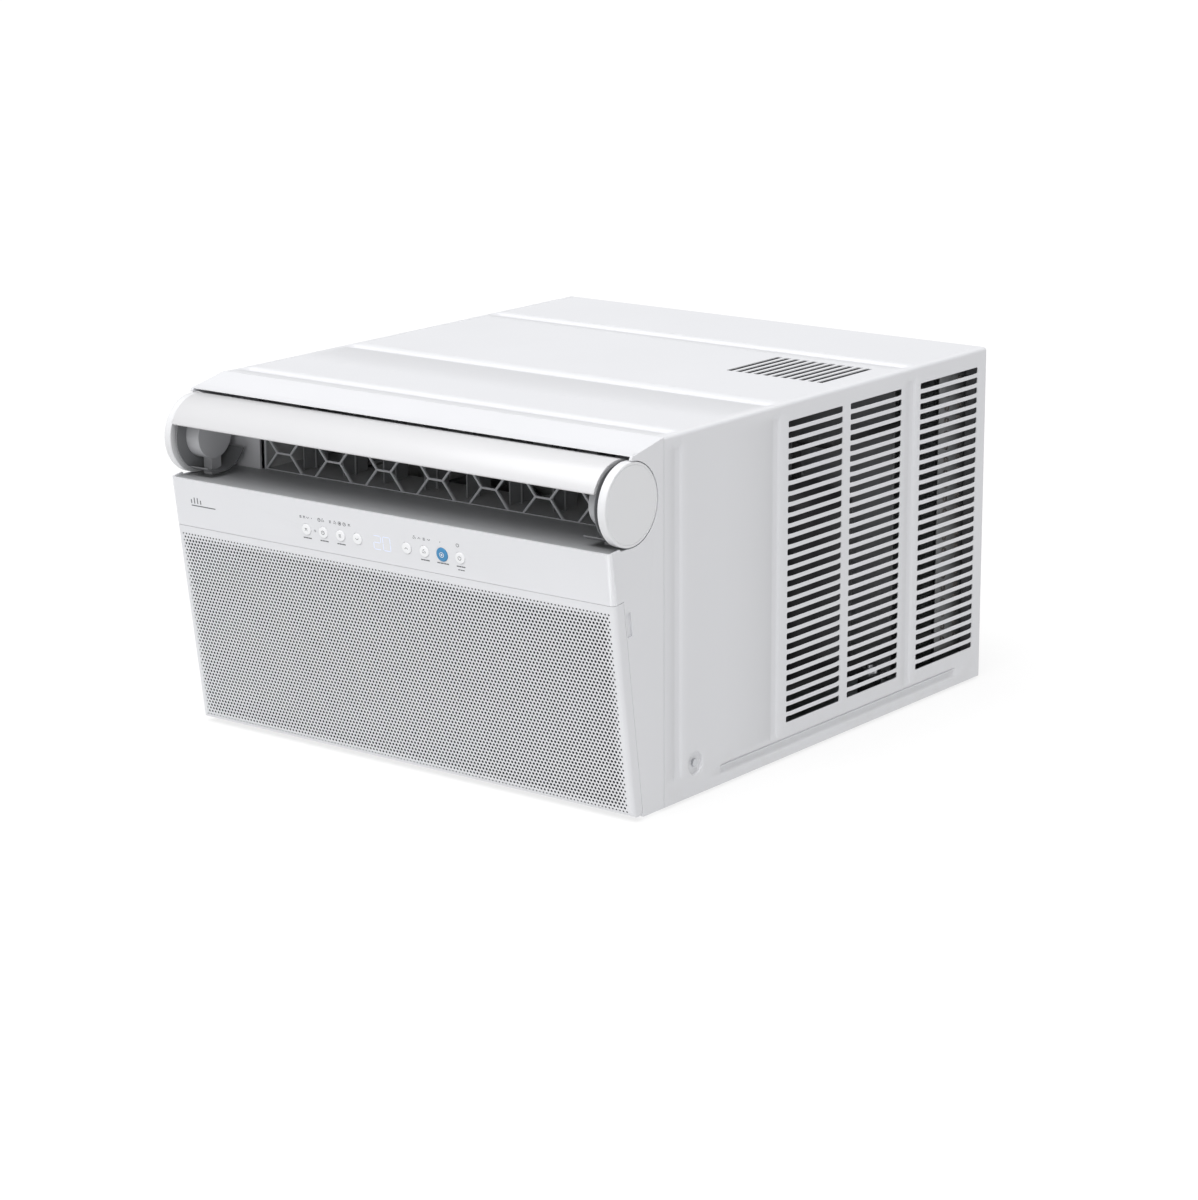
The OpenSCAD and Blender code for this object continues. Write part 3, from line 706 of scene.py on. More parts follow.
paint = enamelled("cabinet_paint", (0.685, 0.69, 0.712))
guard_paint = enamelled("guard_paint", (0.70, 0.71, 0.73), rough=0.5)
black_paint = enamelled("black_paint", (0.028, 0.028, 0.031), rough=0.38, peel=0.09)
front_plastic = moulded("front_plastic", (0.685, 0.69, 0.712), rough=0.40)
grille_plastic = moulded("grille_plastic", (0.685, 0.69, 0.712), rough=0.44)
# Painted shade: the louvre tube's white plastic, made darker than the front's of the same slot to tone down
# the light on it
tube_shaded_plastic = moulded("tube_shaded_plastic", (0.60, 0.60, 0.612), rough=0.30, grain=0.010)
# Painted shade: the hubs' grey is darker than the caps' plastic of the same slot, for the shade on their
# faces under the shell
pale_plastic = moulded("pale_plastic", (0.42, 0.425, 0.44), rough=0.42)
disc_plastic = moulded("disc_plastic", (0.70, 0.705, 0.72), rough=0.32, grain=0.012)
button_plastic = moulded("button_plastic", (0.80, 0.805, 0.82), rough=0.30, grain=0.01)
blue_plastic = moulded("blue_plastic", (0.042, 0.225, 0.44), rough=0.28, grain=0.01)
guard_plastic = moulded("guard_plastic", (0.52, 0.53, 0.55), rough=0.45)
dark_plastic = moulded("dark_plastic", (0.20, 0.204, 0.212), rough=0.5, cloud=0.08)
# Painted shade: a darker copy of the dark plastic, for the shade on the hub linings
lining_shade_plastic = moulded("lining_shade_plastic", (0.16, 0.163, 0.17), rough=0.5, cloud=0.06)
duct_plastic = airway()
black_plastic = moulded("black_plastic", (0.02, 0.02, 0.022), rough=0.45, cloud=0.15)
ink = moulded("grey_ink", (0.12, 0.125, 0.135), rough=0.55, grain=0.005, cloud=0.06)
steel = bare_metal("drawn_steel", (0.55, 0.56, 0.58))
copper = shade_sleeved_copper()
bend_copper = bare_metal("bend_copper", (0.36, 0.32, 0.29), 0.4, (1, 1, 1), (0.15, 0.135, 0.125), 0.7)
# Painted shade: the coils' end plates are zinc sheet in the galvanised slot, given this dark grey for the
# shade on them inside the cabinet
shade_dark_plate = bare_metal("end_plate", (0.25, 0.255, 0.26), 0.5, (1, 1, 1), (0.12, 0.12, 0.12), 0.5)
brass = bare_metal("brass", (0.70, 0.52, 0.24), 0.3)
aluminium = bare_metal("fin_edges", (0.70, 0.72, 0.74), 0.36)
galvanised = zinc()
rubber = soft_rubber("pad_rubber", (0.02, 0.02, 0.021))
seal_foam = soft_rubber("seal_foam", (0.085, 0.086, 0.09))
foam = soft_rubber("drain_foam", (0.60, 0.61, 0.60), 0.85)
board = circuit()
weave = woven()
fins = fin_stock()
digits_light = glowing("digits_light", (0.56, 0.60, 0.73), 0.42)

slot_finish = {
    "cabinet_paint": paint,
    "galvanised": galvanised,
    "rubber": rubber,
    "steel": steel,
    "guard_paint": guard_paint,
    "white_plastic": front_plastic,
    "blue_button": blue_plastic,
    "board": board,
    "display": black_plastic,
    "pale_plastic": pale_plastic,
    "guard_plastic": guard_plastic,
    "filter_mesh": weave,
    "dark_plastic": dark_plastic,
    "foam": foam,
    "fins": fins,
    "black_paint": black_paint,
    "copper": copper,
    "brass": brass,
}
slot_of = {part["node"]: part["material_slot"] for part in frame["record"]["subparts"]}

# ---- cabinet: one folded sheet with pressed beads, slots and a vent ----


def near(value, places, reach=0.05):
    return any(abs(value - place) < reach for place in places)


def between(value, low, high):
    return low < value < high


bead_steps = ((7.4, 0.0), (6.5, 0.55), (5.4, 1.8), (4.4, 2.3))
corner = 1.5


def bead_lines(centre):
    return [centre + side * step for step, depth in bead_steps for side in (-1, 1)]


long_cuts = [y for centre in bead_ys for y in bead_lines(centre)]
for low, high in columns:
    long_cuts += [low, low + corner, low + 8, high - 8, high - corner, high]
# Heights of the cross beads' ends on a side, and of the slots' edges and middles
side_cuts = [25.5, 27.0, 28.8, 31.0, 348.2, 350.2, 352.0, 353.6]
for index in range(slot_count):
    low = slot_z + index * slot_pitch - slot_h / 2
    side_cuts += [low, low + corner, low + slot_h - corner, low + slot_h]
    if index < slot_count - 1:
        side_cuts.append(low + (slot_pitch + slot_h) / 2)
# The long bead at a side's foot: heights and depths across it, and its ends
low_bead_steps = ((12.8, 0.5), (14.2, 1.7), (15.6, 2.3), (20.4, 2.3), (21.8, 1.7), (23.2, 0.5))
low_bead = [11.4, 24.6] + [z for z, depth in low_bead_steps]
low_bead_ends = [-149.3, -146.5, -143.5, 275.9, 278.9, 281.7]
dimple_reach = 14
dimple_cuts_y = [dimple.y - dimple_reach, dimple.y + dimple_reach]
dimple_cuts_z = [dimple.z - dimple_reach, dimple.z + dimple_reach]
vent_cuts_y = [vent_y[0], vent_y[0] + corner, vent_y[1] - corner, vent_y[1]]
shared_cuts = sorted(set(long_cuts + low_bead_ends + dimple_cuts_y + vent_cuts_y))


def in_slot_column(y):
    return any(low + 0.1 < y < high - 0.1 for low, high in columns)


def in_slot(z):
    step = (z - slot_z + slot_h / 2) % slot_pitch
    index = (z - slot_z + slot_h / 2) // slot_pitch
    return 0 <= index < slot_count and 0.1 < step < slot_h - 0.1


def press_bead(direction, along, limits):
    """Presses the cross beads into a flat, with soft shoulders and rounded ends."""
    for depth_share, inset in ((0.35, 0), (0.75, 1.8), (1.0, 3.6)):
        for step, depth in bead_steps[1:]:
            lines = [centre + side * step for centre in bead_ys for side in (-1, 1)]
            low, high = limits[0] + inset, limits[1] - inset
            share = depth_share - {0: 0, 1.8: 0.35, 3.6: 0.75}[inset]
            push(
                lambda p, n: near(p.y, lines) and low - 0.3 < along(p) < high + 0.3,
                Vector(direction) * depth * share,
            )


side = sheet("side_panel", "x", half_w, (seam_y, base_z), (rear_y, top_z - bend_r))
edit(side)
cut("y", shared_cuts)
cut("z", sorted(side_cuts + low_bead + dimple_cuts_z))
drop("FACE", lambda p, n: in_slot_column(p.y) and in_slot(p.z))
drop(
    "FACE",
    lambda p, n: (p - dimple).length < 19
    and near(p.y, [dimple.y], dimple_reach - 0.1)
    and near(p.z, [dimple.z], dimple_reach - 0.1),
)
tuck = corner * (1 - math.sqrt(0.5))
slot_lows = [slot_z + i * slot_pitch - slot_h / 2 for i in range(slot_count)]
slot_highs = [low + slot_h for low in slot_lows]
for level, ends, shift in (
    (slot_lows, [c[0] for c in columns], (0, tuck, tuck)),
    (slot_lows, [c[1] for c in columns], (0, -tuck, tuck)),
    (slot_highs, [c[0] for c in columns], (0, tuck, -tuck)),
    (slot_highs, [c[1] for c in columns], (0, -tuck, -tuck)),
):
    push(lambda p, n: near(p.y, ends) and near(p.z, level), shift)
press_bead((-1, 0, 0), lambda p: p.z, (27.0, 352.0))
for step, depth in low_bead_steps:
    push(lambda p, n: near(p.z, [step]) and between(p.y, -147, 279.5), (-depth * 0.75, 0, 0))
    push(lambda p, n: near(p.z, [step]) and between(p.y, -144, 276.5), (-depth * 0.25, 0, 0))
mids = [high + (slot_pitch - slot_h) / 2 for high in slot_highs[:-1]]
# The slats between the slots bulge outwards, more along their middles
for levels, bulge in ((slot_lows[1:] + slot_highs[:-1], 0.7), (mids, 1.3)):
    push(
        lambda p, n: near(p.z, levels) and any(between(p.y, low + 7.9, high - 7.9) for low, high in columns),
        (bulge, 0, 0),
    )
# The bend along the top edge
pick("EDGE", lambda p, n: near(p.z, [top_z - bend_r]))
bpy.ops.mesh.spin(
    steps=6,
    angle=math.pi / 2,
    center=Vector((half_w - bend_r, 0, top_z - bend_r)) / 1000,
    axis=(0, 1, 0),
)
close()
side_left = mirrored(side, "side_panel_left")

lid = sheet("lid", "z", top_z, (-half_w + bend_r, seam_y), (half_w - bend_r, rear_y))
edit(lid)
cut("y", shared_cuts)
vent_xs = [vent_x + i * vent_pitch for i in range(vent_count)]
vent_cuts = [x + step for x in vent_xs for step in (0, corner, vent_w - corner, vent_w)]
cut("x", sorted(vent_cuts + [s * x for s in (-1, 1) for x in (264.5, 266.5, 268.5, 270.5)]))
drop(
    "FACE",
    lambda p, n: between(p.y, *vent_y) and any(between(p.x, x + 0.1, x + vent_w - 0.1) for x in vent_xs),
)
vent_ends = [x + vent_w for x in vent_xs]
for xs, ys, shift in (
    (vent_xs, vent_y[:1], (tuck, tuck, 0)),
    (vent_ends, vent_y[:1], (-tuck, tuck, 0)),
    (vent_xs, vent_y[1:], (tuck, -tuck, 0)),
    (vent_ends, vent_y[1:], (-tuck, -tuck, 0)),
):
    push(lambda p, n: near(p.x, xs) and near(p.y, ys), shift)
press_bead((0, 0, -1), lambda p: p.x, (-270.5, 270.5))
close()


def dished(side_x):
    """The screw's dimple with the square of sheet round it, one side."""
    sign = 1 if side_x > 0 else -1
    centre = Vector((side_x, dimple.y, dimple.z))
    obj = ring("dimple", centre, 12.6, 32, (0, math.pi / 2, 0))
    edit(obj)
    bpy.ops.mesh.extrude_edges_move()
    mesh = bmesh.from_edit_mesh(obj.data)
    for point in [v for v in mesh.verts if v.select]:
        away = point.co * 1000 - centre
        point.co += away * (dimple_reach / max(abs(away.y), abs(away.z)) - 1) / 1000
    bmesh.update_edit_mesh(obj.data)
    pick("EDGE", lambda p, n: (p - centre).length < 12.61)
    for shrink, depth in ((0.93, 0.35), (0.955, 1.0), (0.98, 1.2), (0.93, 0.4), (0.5, 0.05), (0.02, 0)):
        bpy.ops.mesh.extrude_edges_move(
            TRANSFORM_OT_translate={"value": (-sign * depth / 1000, 0, 0)}
        )
        bpy.ops.transform.resize(value=(1, shrink, shrink))
    bpy.ops.mesh.merge(type="CENTER")
    outwards()
    close()
    return obj


cabinet = joined("cabinet_shell", side, side_left, lid, dished(half_w), dished(-half_w))
edit(cabinet)
bpy.ops.mesh.remove_doubles(threshold=0.00003)
outwards()
close()
top_face = max(cabinet.data.polygons, key=lambda f: f.center.z * f.area)
if top_face.normal.z < 0:
    edit(cabinet)
    bpy.ops.mesh.flip_normals()
    close()
apply(cabinet, "SOLIDIFY", thickness=0.001, offset=-1)
flange = sheet("rear_flange", "y", rear_y - 0.5, (-half_w + 1, base_z + 0.5), (half_w - 1, top_z - 1))
edit(flange)
cut("x", (-half_w + 22, half_w - 22))
cut("z", (base_z + 17, top_z - 15))
drop("FACE", lambda p, n: abs(p.x) < half_w - 22 and between(p.z, base_z + 17, top_z - 15))
close()
apply(flange, "SOLIDIFY", thickness=0.001, offset=0)
cabinet = joined("cabinet_shell", cabinet, flange)
smooth(cabinet, 42)
finished(cabinet, "housing", paint, "cabinet_paint", "cabinet")

# ---- intake grille: a perforated sheet in a leaning frame ----

cell_w = 4.19
cell_h = 3.56
hole_r = 1.52
cells_across = 131
cell_rows = 57
mesh_half = cell_w * cells_across / 2
mesh_low = 5.5
mesh_high = mesh_low + cell_h * cell_rows

cell = ring("cell", (0, 0, 0), hole_r, 8, (math.pi / 2, 0, 0))
edit(cell)
bpy.ops.mesh.extrude_edges_move()
mesh = bmesh.from_edit_mesh(cell.data)
for point in [v for v in mesh.verts if v.select]:
    x, z = point.co.x, point.co.z
    point.co.x = 0 if abs(x) < 1e-5 else math.copysign(cell_w / 2000, x)
    point.co.z = 0 if abs(z) < 1e-5 else math.copysign(cell_h / 2000, z)
bmesh.update_edit_mesh(cell.data)
close()


def row_of_cells(name, count, start):
    row = copied(cell, name, (start, 0, 0))
    rowed(row, count, (cell_w, 0, 0), use_merge_vertices=True, merge_threshold=0.00002)
    return row


full_row = row_of_cells("full_row", cells_across, -mesh_half + cell_w / 2)
short_row = row_of_cells("short_row", cells_across - 1, -mesh_half + cell_w)
ends = [
    sheet("row_end", "y", 0, (side * mesh_half, -cell_h / 2), (side * (mesh_half - cell_w / 2), cell_h / 2))
    for side in (-1, 1)
]
short_row = joined("short_row", short_row, *ends)
short_row.data.transform(Matrix.Translation((0, 0, cell_h / 1000)))
pair = joined("pair_of_rows", full_row, short_row)
bpy.data.objects.remove(cell)


def perforated(name, first_row, rows):
    """A band of the perforated sheet, its holes smaller towards the sheet's edges."""
    band = copied(pair, name, (0, 0, mesh_low + (first_row + 0.5) * cell_h))
    rowed(band, (rows + 1) // 2, (0, 0, 2 * cell_h))
    edit(band)
    if rows % 2:
        drop("FACE", lambda p, n: p.z > mesh_low + (first_row + rows) * cell_h)
    bpy.ops.mesh.select_all(action="SELECT")
    bpy.ops.mesh.remove_doubles(threshold=0.00004)
    outwards()
    close()
    if band.data.polygons[0].normal.y > 0:
        band.data.flip_normals()
    for point in band.data.vertices:
        x, z = point.co.x * 1000, point.co.z * 1000
        row = math.floor((z - mesh_low) / cell_h)
        offset = 0.5 if row % 2 == 0 else 0.0
        middle_x = (round((x + mesh_half) / cell_w - offset) + offset) * cell_w - mesh_half
        middle_z = mesh_low + (row + 0.5) * cell_h
        if math.hypot(x - middle_x, z - middle_z) < hole_r + 0.05:
            inset = min(row, cell_rows - 1 - row, (mesh_half - abs(middle_x)) / cell_w * 1.2)
            share = 0.7 if inset < 1 else 0.88 if inset < 2 else 1.0
            point.co.x = (middle_x + (x - middle_x) * share) / 1000
            point.co.z = (middle_z + (z - middle_z) * share) / 1000
        if z < 8:
            point.co.y = (7 - math.sqrt(49 - (8 - z) ** 2)) / 1000
    apply(band, "SOLIDIFY", thickness=0.00045, offset=-1)
    return on_face(band)


for index, (first, rows) in enumerate(((0, 20), (20, 20), (40, 17))):
    band = perforated(f"grille_sheet_{index + 1}", first, rows)
    smooth(band, 30)
    finished(band, "grille", grille_plastic, "white_plastic")
bpy.data.objects.remove(pair)

# A dark woven sheet lies behind the perforations; it paints the shade seen through the holes
shade_backing = sheet("shade_screen", "y", 1.5, (-mesh_half + 1, mesh_low + 3), (mesh_half - 1, mesh_high - 1))
apply(shade_backing, "SOLIDIFY", thickness=0.0003, offset=0)
on_face(shade_backing)
finished(shade_backing, "grille", weave, "filter_mesh")

grille_frame = lifted("intake_grille", "grille_frame", face_frame.inverted())
cut("x", (-mesh_half, mesh_half))
cut("z", (mesh_low, mesh_high))
drop(
    "FACE",
    lambda p, n: abs(p.x) < mesh_half
    and mesh_low < p.z < mesh_high
    and -0.1 < p.y < 3.2
    and abs(n.y) > 0.6,
)
close()
on_face(grille_frame)
eased(grille_frame, 0.5)
finished(grille_frame, "grille", grille_plastic, "white_plastic", "intake_grille")

# ---- front moulding, outlet and louvre ----

front = remade("front_bezel", "front_moulding", edge=0.45)
finished(front, "housing", front_plastic, "white_plastic", "front_bezel")
duct = remade("outlet_duct", "air_duct", edge=0.4)
finished(duct, "housing", duct_plastic, "dark_plastic", "outlet_duct")
# Painted shade: the hubs get a grey darker than the caps of the same plastic
for side_name in ("left", "right"):
    hub = remade(f"louver_hub_{side_name}", f"tube_hub_{side_name}", edge=0.5)
    finished(hub, "housing", pale_plastic, "pale_plastic", f"louver_hub_{side_name}")


def arc(radius, start, end, steps, x=0):
    """Places on an arc round the tube's axis, from +Y towards +Z, in degrees."""
    turns = [math.radians(start + (end - start) * i / steps) for i in range(steps + 1)]
    return [(x, tube_y + radius * math.cos(a), tube_z + radius * math.sin(a)) for a in turns]


def washer(name, radius, breadth, x, depth):
    """A flat ring round the tube's axis, drawn out from x by a depth."""
    obj = draw(name, arc(radius, 0, 355, 71, x))
    bpy.ops.mesh.select_all(action="SELECT")
    bpy.ops.mesh.inset(thickness=breadth / 1000)
    bpy.ops.mesh.delete(type="FACE")
    bpy.ops.mesh.select_all(action="SELECT")
    bpy.ops.mesh.extrude_region_move(TRANSFORM_OT_translate={"value": (depth / 1000, 0, 0)})
    outwards()
    close()
    return obj


shell_low, shell_high = node_box("louver_shell")
wall = 2.6
lip = math.degrees(0.8 / tube_r)
outer = arc(tube_r, 15 + lip, 159 - lip, 56, shell_low.x)
front_lip = arc(tube_r - wall / 2, 159, 160, 1, shell_low.x)[:1]
inner = arc(tube_r - wall, 159 - lip, 15 + lip, 56, shell_low.x)
rear_lip = arc(tube_r - wall / 2, 15, 16, 1, shell_low.x)[:1]
shell = drawn_out("tube_shell", outer + front_lip + inner + rear_lip, (shell_high.x - shell_low.x, 0, 0))
webs = []
for x in (shell_low.x + 0.5, shell_high.x - 3.5):
    edge = arc(tube_r - wall + 0.3, 18, 156, 40, x) + arc(hub_r + 1, 156, 18, 40, x)
    webs.append(drawn_out("end_web", edge, (3, 0, 0)))
    webs.append(washer("collar", hub_r + 3, 2.9, x, 3))
shell = joined("tube_shell", shell, *webs)
rounded(shell, 0.3, 2, 50)
smooth(shell, 35)
# Painted shade: the tube takes the darker copy of the white plastic
finished(shell, "louver", tube_shaded_plastic, "white_plastic", "louver_shell")

# A dark lining behind each hub: an upright wall round it, and a trough under it, both fixed. Its colour,
# darker than the duct's dark plastic, paints the shade in the gap between the tube and each cap
lining_r = tube_r - wall - 1.2
for side_name, sign in (("left", -1), ("right", 1)):
    wall_x = sign * (half_w - 14.3)
    upright = washer("upright", lining_r, lining_r - hub_r - 0.4, wall_x, -sign * 0.8)
    trough_edge = arc(lining_r, 236, 332, 32, wall_x) + arc(lining_r - 0.9, 332, 236, 32, wall_x)
    trough = drawn_out("trough", trough_edge, (-sign * 26, 0, 0))
    lining = joined(f"hub_lining_{side_name}", upright, trough)
    smooth(lining, 35)
    finished(lining, "housing", lining_shade_plastic, "dark_plastic")

# Each cap: a face with a fine step near its edge, and a broad bright rim
disc_r = (disc_high.z - disc_low.z) / 2
for side_name, sign in (("left", -1), ("right", 1)):
    outer_x = sign * half_w
    inner_x = sign * (half_w - (disc_high.x - disc_low.x))
    profile = [
        (0.0, 0.0),
        (disc_r - 3.6, 0.0),
        (disc_r - 3.2, 0.35),
        (disc_r - 2.8, 0.35),
        (disc_r - 2.4, 0.0),
        (disc_r - 1.5, 0.0),
        (disc_r - 0.75, 0.2),
        (disc_r - 0.2, 0.75),
        (disc_r, 1.5),
        (disc_r, 8.4),
        (disc_r - 0.6, 9.0),
        (0.0, 9.0),
    ]
    places = [
        (outer_x + (inner_x - outer_x) * depth / 9, tube_y, tube_z + radius)
        for radius, depth in profile
    ]
    cap = spun(f"cap_{side_name}", places, (0, tube_y, tube_z), (1, 0, 0), 96)
    smooth(cap, 35)
    finished(cap, "housing", disc_plastic, "pale_plastic", f"side_disc_{side_name}")

# ---- buttons, signs and digits on the strip; drawn in face terms ----

button_places = {
    "swing": -98.25,
    "timer": -76.0,
    "mode": -53.75,
    "down": -31.5,
    "up": 31.5,
    "fan": 53.75,
    "clean": 76.0,
    "power": 98.25,
}


def dash(at, length, width=0.55, turn=0.0, t=-0.06):
    """One straight stroke of a sign: its middle (across, up), its length and its turn in degrees."""
    bpy.ops.object.select_all(action="DESELECT")
    bpy.ops.mesh.primitive_plane_add(
        size=1,
        location=Vector((at[0], t, at[1])) / 1000,
        rotation=(math.pi / 2, math.radians(-turn), 0),
    )
    obj = bpy.context.object
    obj.scale = (length / 1000, width / 1000, 1)
    return settle(obj, "dash")


def hoop(at, radius, width=0.5, start=0, end=360, t=-0.06):
    """A round stroke, whole or in part, as a chain of short ones."""
    steps = max(5, round(abs(end - start) / 24))
    turns = [start + (end - start) * (i + 0.5) / steps for i in range(steps)]
    length = 2 * radius * math.tan(math.radians(abs(end - start) / steps / 2)) + width * 0.35
    return [
        dash(
            (at[0] + radius * math.cos(math.radians(a)), at[1] + radius * math.sin(math.radians(a))),
            length,
            width,
            a + 90,
            t,
        )
        for a in turns
    ]


def signs(kind, at, size, t=-0.06, width=0.5):
    """The strokes of one plain sign."""
    x, s = at
    if kind == "swing":
        return [
            dash((x, s + size * 0.5), size * 1.3, width, 0, t),
            dash((x - size * 0.35, s - size * 0.1), size * 1.2, width, 60, t),
            dash((x + size * 0.35, s - size * 0.1), size * 1.2, width, -60, t),
        ]
    if kind == "timer":
        return hoop(at, size * 0.8, width, t=t) + [
            dash((x, s + size * 0.25), size * 0.55, width, 90, t),
            dash((x + size * 0.22, s), size * 0.45, width, 0, t),
        ]
    if kind == "mode":
        return [dash((x, s + size * step), size * 1.2, width, 0, t) for step in (-0.5, 0, 0.5)]
    if kind in ("down", "up"):
        slope = 1 if kind == "up" else -1
        return [
            dash((x - size * 0.4, s), size * 1.05, width, 40 * slope, t),
            dash((x + size * 0.4, s), size * 1.05, width, -40 * slope, t),
        ]
    if kind == "fan":
        strokes = []
        for turn in (90, 210, 330):
            a = math.radians(turn)
            middle = (x + size * 0.5 * math.cos(a), s + size * 0.5 * math.sin(a))
            strokes += hoop(middle, size * 0.34, width * 0.9, turn - 60, turn + 150, t)
        return strokes
    if kind == "clean":
        return hoop(at, size * 0.85, width, t=t) + [
            dash((x, s), size * 0.9, width, turn, t) for turn in (0, 60, 120)
        ]
    return hoop(at, size * 0.8, width, 125, 415, t) + [dash((x, s + size * 0.6), size * 0.8, width, 90, t)]


def printed(name, strokes, body, finish, slot, *stands_for):
    """Strokes made one thin raised print, and carried to the slope."""
    mark = joined(name, *strokes)
    edit(mark)
    bpy.ops.mesh.extrude_region_move(TRANSFORM_OT_translate={"value": (0, 0.00008, 0)})
    outwards()
    close()
    on_face(mark)
    return finished(mark, body, finish, slot, *stands_for)


for word, x in button_places.items():
    big = word == "clean"
    radius = (7.0 if big else 5.9) - 0.05
    proud = 0.8
    profile = [
        (0.0, -proud - 0.12),
        (radius * 0.55, -proud - 0.06),
        (radius - 0.9, -proud),
        (radius - 0.35, -proud + 0.12),
        (radius - 0.08, -proud + 0.4),
        (radius, -proud + 0.9),
        (radius, 7.0),
        (0.0, 7.0),
    ]
    places = [(x, depth, button_s + r) for r, depth in profile]
    button = spun(f"press_{word}", places, (x, 0, button_s), (0, 1, 0), 40)
    on_face(button)
    smooth(button, 40)
    body = f"button_{word}"
    finish, slot = (blue_plastic, "blue_button") if big else (button_plastic, "white_plastic")
    finished(button, body, finish, slot, body)
    size = 2.9 if big else 2.35
    printed(
        f"sign_{word}",
        signs(word, (x, button_s), size, -proud - 0.18, 0.55 if big else 0.5),
        body,
        button_plastic if big else ink,
        "white_plastic",
    )

# Rows of small marks over and under the buttons
marks = []
for word, x in button_places.items():
    length = 11 if word not in ("clean", "down", "up") else 15
    if word not in ("down", "up"):
        for part, share in ((-0.36, 0.24), (-0.08, 0.26), (0.18, 0.18), (0.39, 0.2)):
            marks.append(dash((x + part * length, button_s - 8.9), share * length, 1.25))
    if word == "power":
        for part in (-0.3, 0.02, 0.32):
            marks.append(dash((x + part * 9, button_s - 12.4), 2.4, 1.0))
row_s = button_s + 12.6
for x, kind in (
    (-104.5, "mode"), (-99.8, "swing"), (-95.0, "down"),
    (-80.0, "timer"), (-75.4, "fan"),
    (-65.6, "mode"), (-59.4, "fan"), (-53.2, "clean"), (-47.0, "timer"), (-40.8, "swing"),
    (42.5, "fan"), (48.6, "up"), (54.7, "mode"), (60.8, "down"), (96.5, "power"),
):
    marks += signs(kind, (x, row_s), 2.05, -0.06, 0.55)
for x in (-90.0, 74.7):
    marks += [dash((x, row_s), 1.0, 0.55, turn) for turn in (0, 60, 120)]
marks += [dash((-87.1, button_s), 3.0, 0.5), dash((-87.1, button_s), 3.0, 0.5, 90)]
printed("strip_marks", marks, "housing", ink, "display")

# A plain sign at the strip's left end: four upright bars over a long one
sign_s = face_len - 27
bars_up = [
    dash((-254 + 4.2 * i, sign_s + 2.2 + height / 2), height, 1.3, 90)
    for i, height in enumerate((4.2, 6.4, 6.4, 4.2))
]
printed("plain_sign", bars_up + [dash((-238, sign_s), 33, 1.1)], "housing", ink, "display")

# The two digits that shine through the strip, each of up to seven bars
bars = {
    "top": (0, 7.0, 0),
    "middle": (0, 0, 0),
    "bottom": (0, -7.0, 0),
    "upper_left": (-4.6, 3.5, 90),
    "upper_right": (4.6, 3.5, 90),
    "lower_left": (-4.6, -3.5, 90),
    "lower_right": (4.6, -3.5, 90),
}
lit = {
    -6.0: ("top", "upper_right", "middle", "lower_left", "bottom"),
    6.0: ("top", "upper_left", "upper_right", "lower_left", "lower_right", "bottom"),
}
glow = []
for centre, names in lit.items():
    for word in names:
        x, s, turn = bars[word]
        glow.append(dash((centre + x, button_s + s), 6.2 if turn else 7.6, 0.85, turn, -0.05))
printed("digits", glow, "housing", digits_light, "display")

# ---- heat exchangers: real fins, tube bends and end plates ----

evaporator_low, evaporator_high = node_box("evaporator")
evaporator_y = (evaporator_low.y + evaporator_high.y) / 2


def coil(node, fin_pitch, bend_from, bend_pitch, bend_ys, reach, tube=3):
    """A stack of thin fins between two end plates, and the tubes' bends that stand out at both ends."""
    low, high = node_box(node)
    fin = slab("fin", (low.x + 3, low.y + 1, low.z + 1), (low.x + 3.25, high.y - 1, high.z - 1))
    rowed(fin, int((high.x - low.x - 6) / fin_pitch), (fin_pitch, 0, 0))
    fin.name = node + "_fins"
    finished(fin, "housing", aluminium, "fins", node)
    plates = []
    for x in (low.x + 0.2, high.x - 1.4):
        plate = slab("end_plate", (x, low.y, low.z), (x + 1.2, high.y, high.z))
        edit(plate)
        pick("FACE", lambda p, n: abs(n.x) > 0.9)
        bpy.ops.mesh.inset(thickness=0.003)
        bpy.ops.transform.resize(value=(0.6, 1, 1), center_override=(x / 1000 + 0.0006, 0, 0))
        close()
        plates.append(plate)
    plates = joined(node + "_end_plates", *plates)
    rounded(plates, 0.15, 1, 30)
    smooth(plates)
    # Painted shade: the end plates take the dark grey finish, not the zinc one
    finished(plates, "housing", shade_dark_plate, "galvanised")
    bends = []
    half = bend_pitch / 4
    first = ring("bend", (high.x, bend_ys[0], bend_from), tube, 10, (0, math.pi / 2, 0))
    edit(first)
    bpy.ops.mesh.extrude_edges_move(TRANSFORM_OT_translate={"value": (reach / 1000, 0, 0)})
    bpy.ops.mesh.spin(
        steps=8,
        angle=math.pi,
        center=Vector((high.x + reach, 0, bend_from + half)) / 1000,
        axis=(0, -1, 0),
    )
    bpy.ops.mesh.extrude_edges_move(TRANSFORM_OT_translate={"value": (-reach / 1000, 0, 0)})
    bpy.ops.mesh.select_all(action="SELECT")
    bpy.ops.mesh.remove_doubles(threshold=0.00002)
    outwards()
    close()
    count = int((high.z - bend_from - 8) / bend_pitch)
    for y_index, y in enumerate(bend_ys):
        for index in range(count):
            z = index * bend_pitch + (y_index % 2) * bend_pitch / 2
            bends.append(copied(first, "bend", (0, y - bend_ys[0], z)))
    bends.append(mirrored(joined("bends", first, *bends), "bends_left"))
    bends = joined(node + "_bends", bpy.data.objects["bends"], bends[-1])
    smooth(bends, 60)
    finished(bends, "housing", bend_copper, "copper")


coil("condenser", 2.4, 24, 28, (281, 305), 1)
coil("evaporator", 2.0, 34, 28, (evaporator_y - 11, evaporator_y + 11), 1)

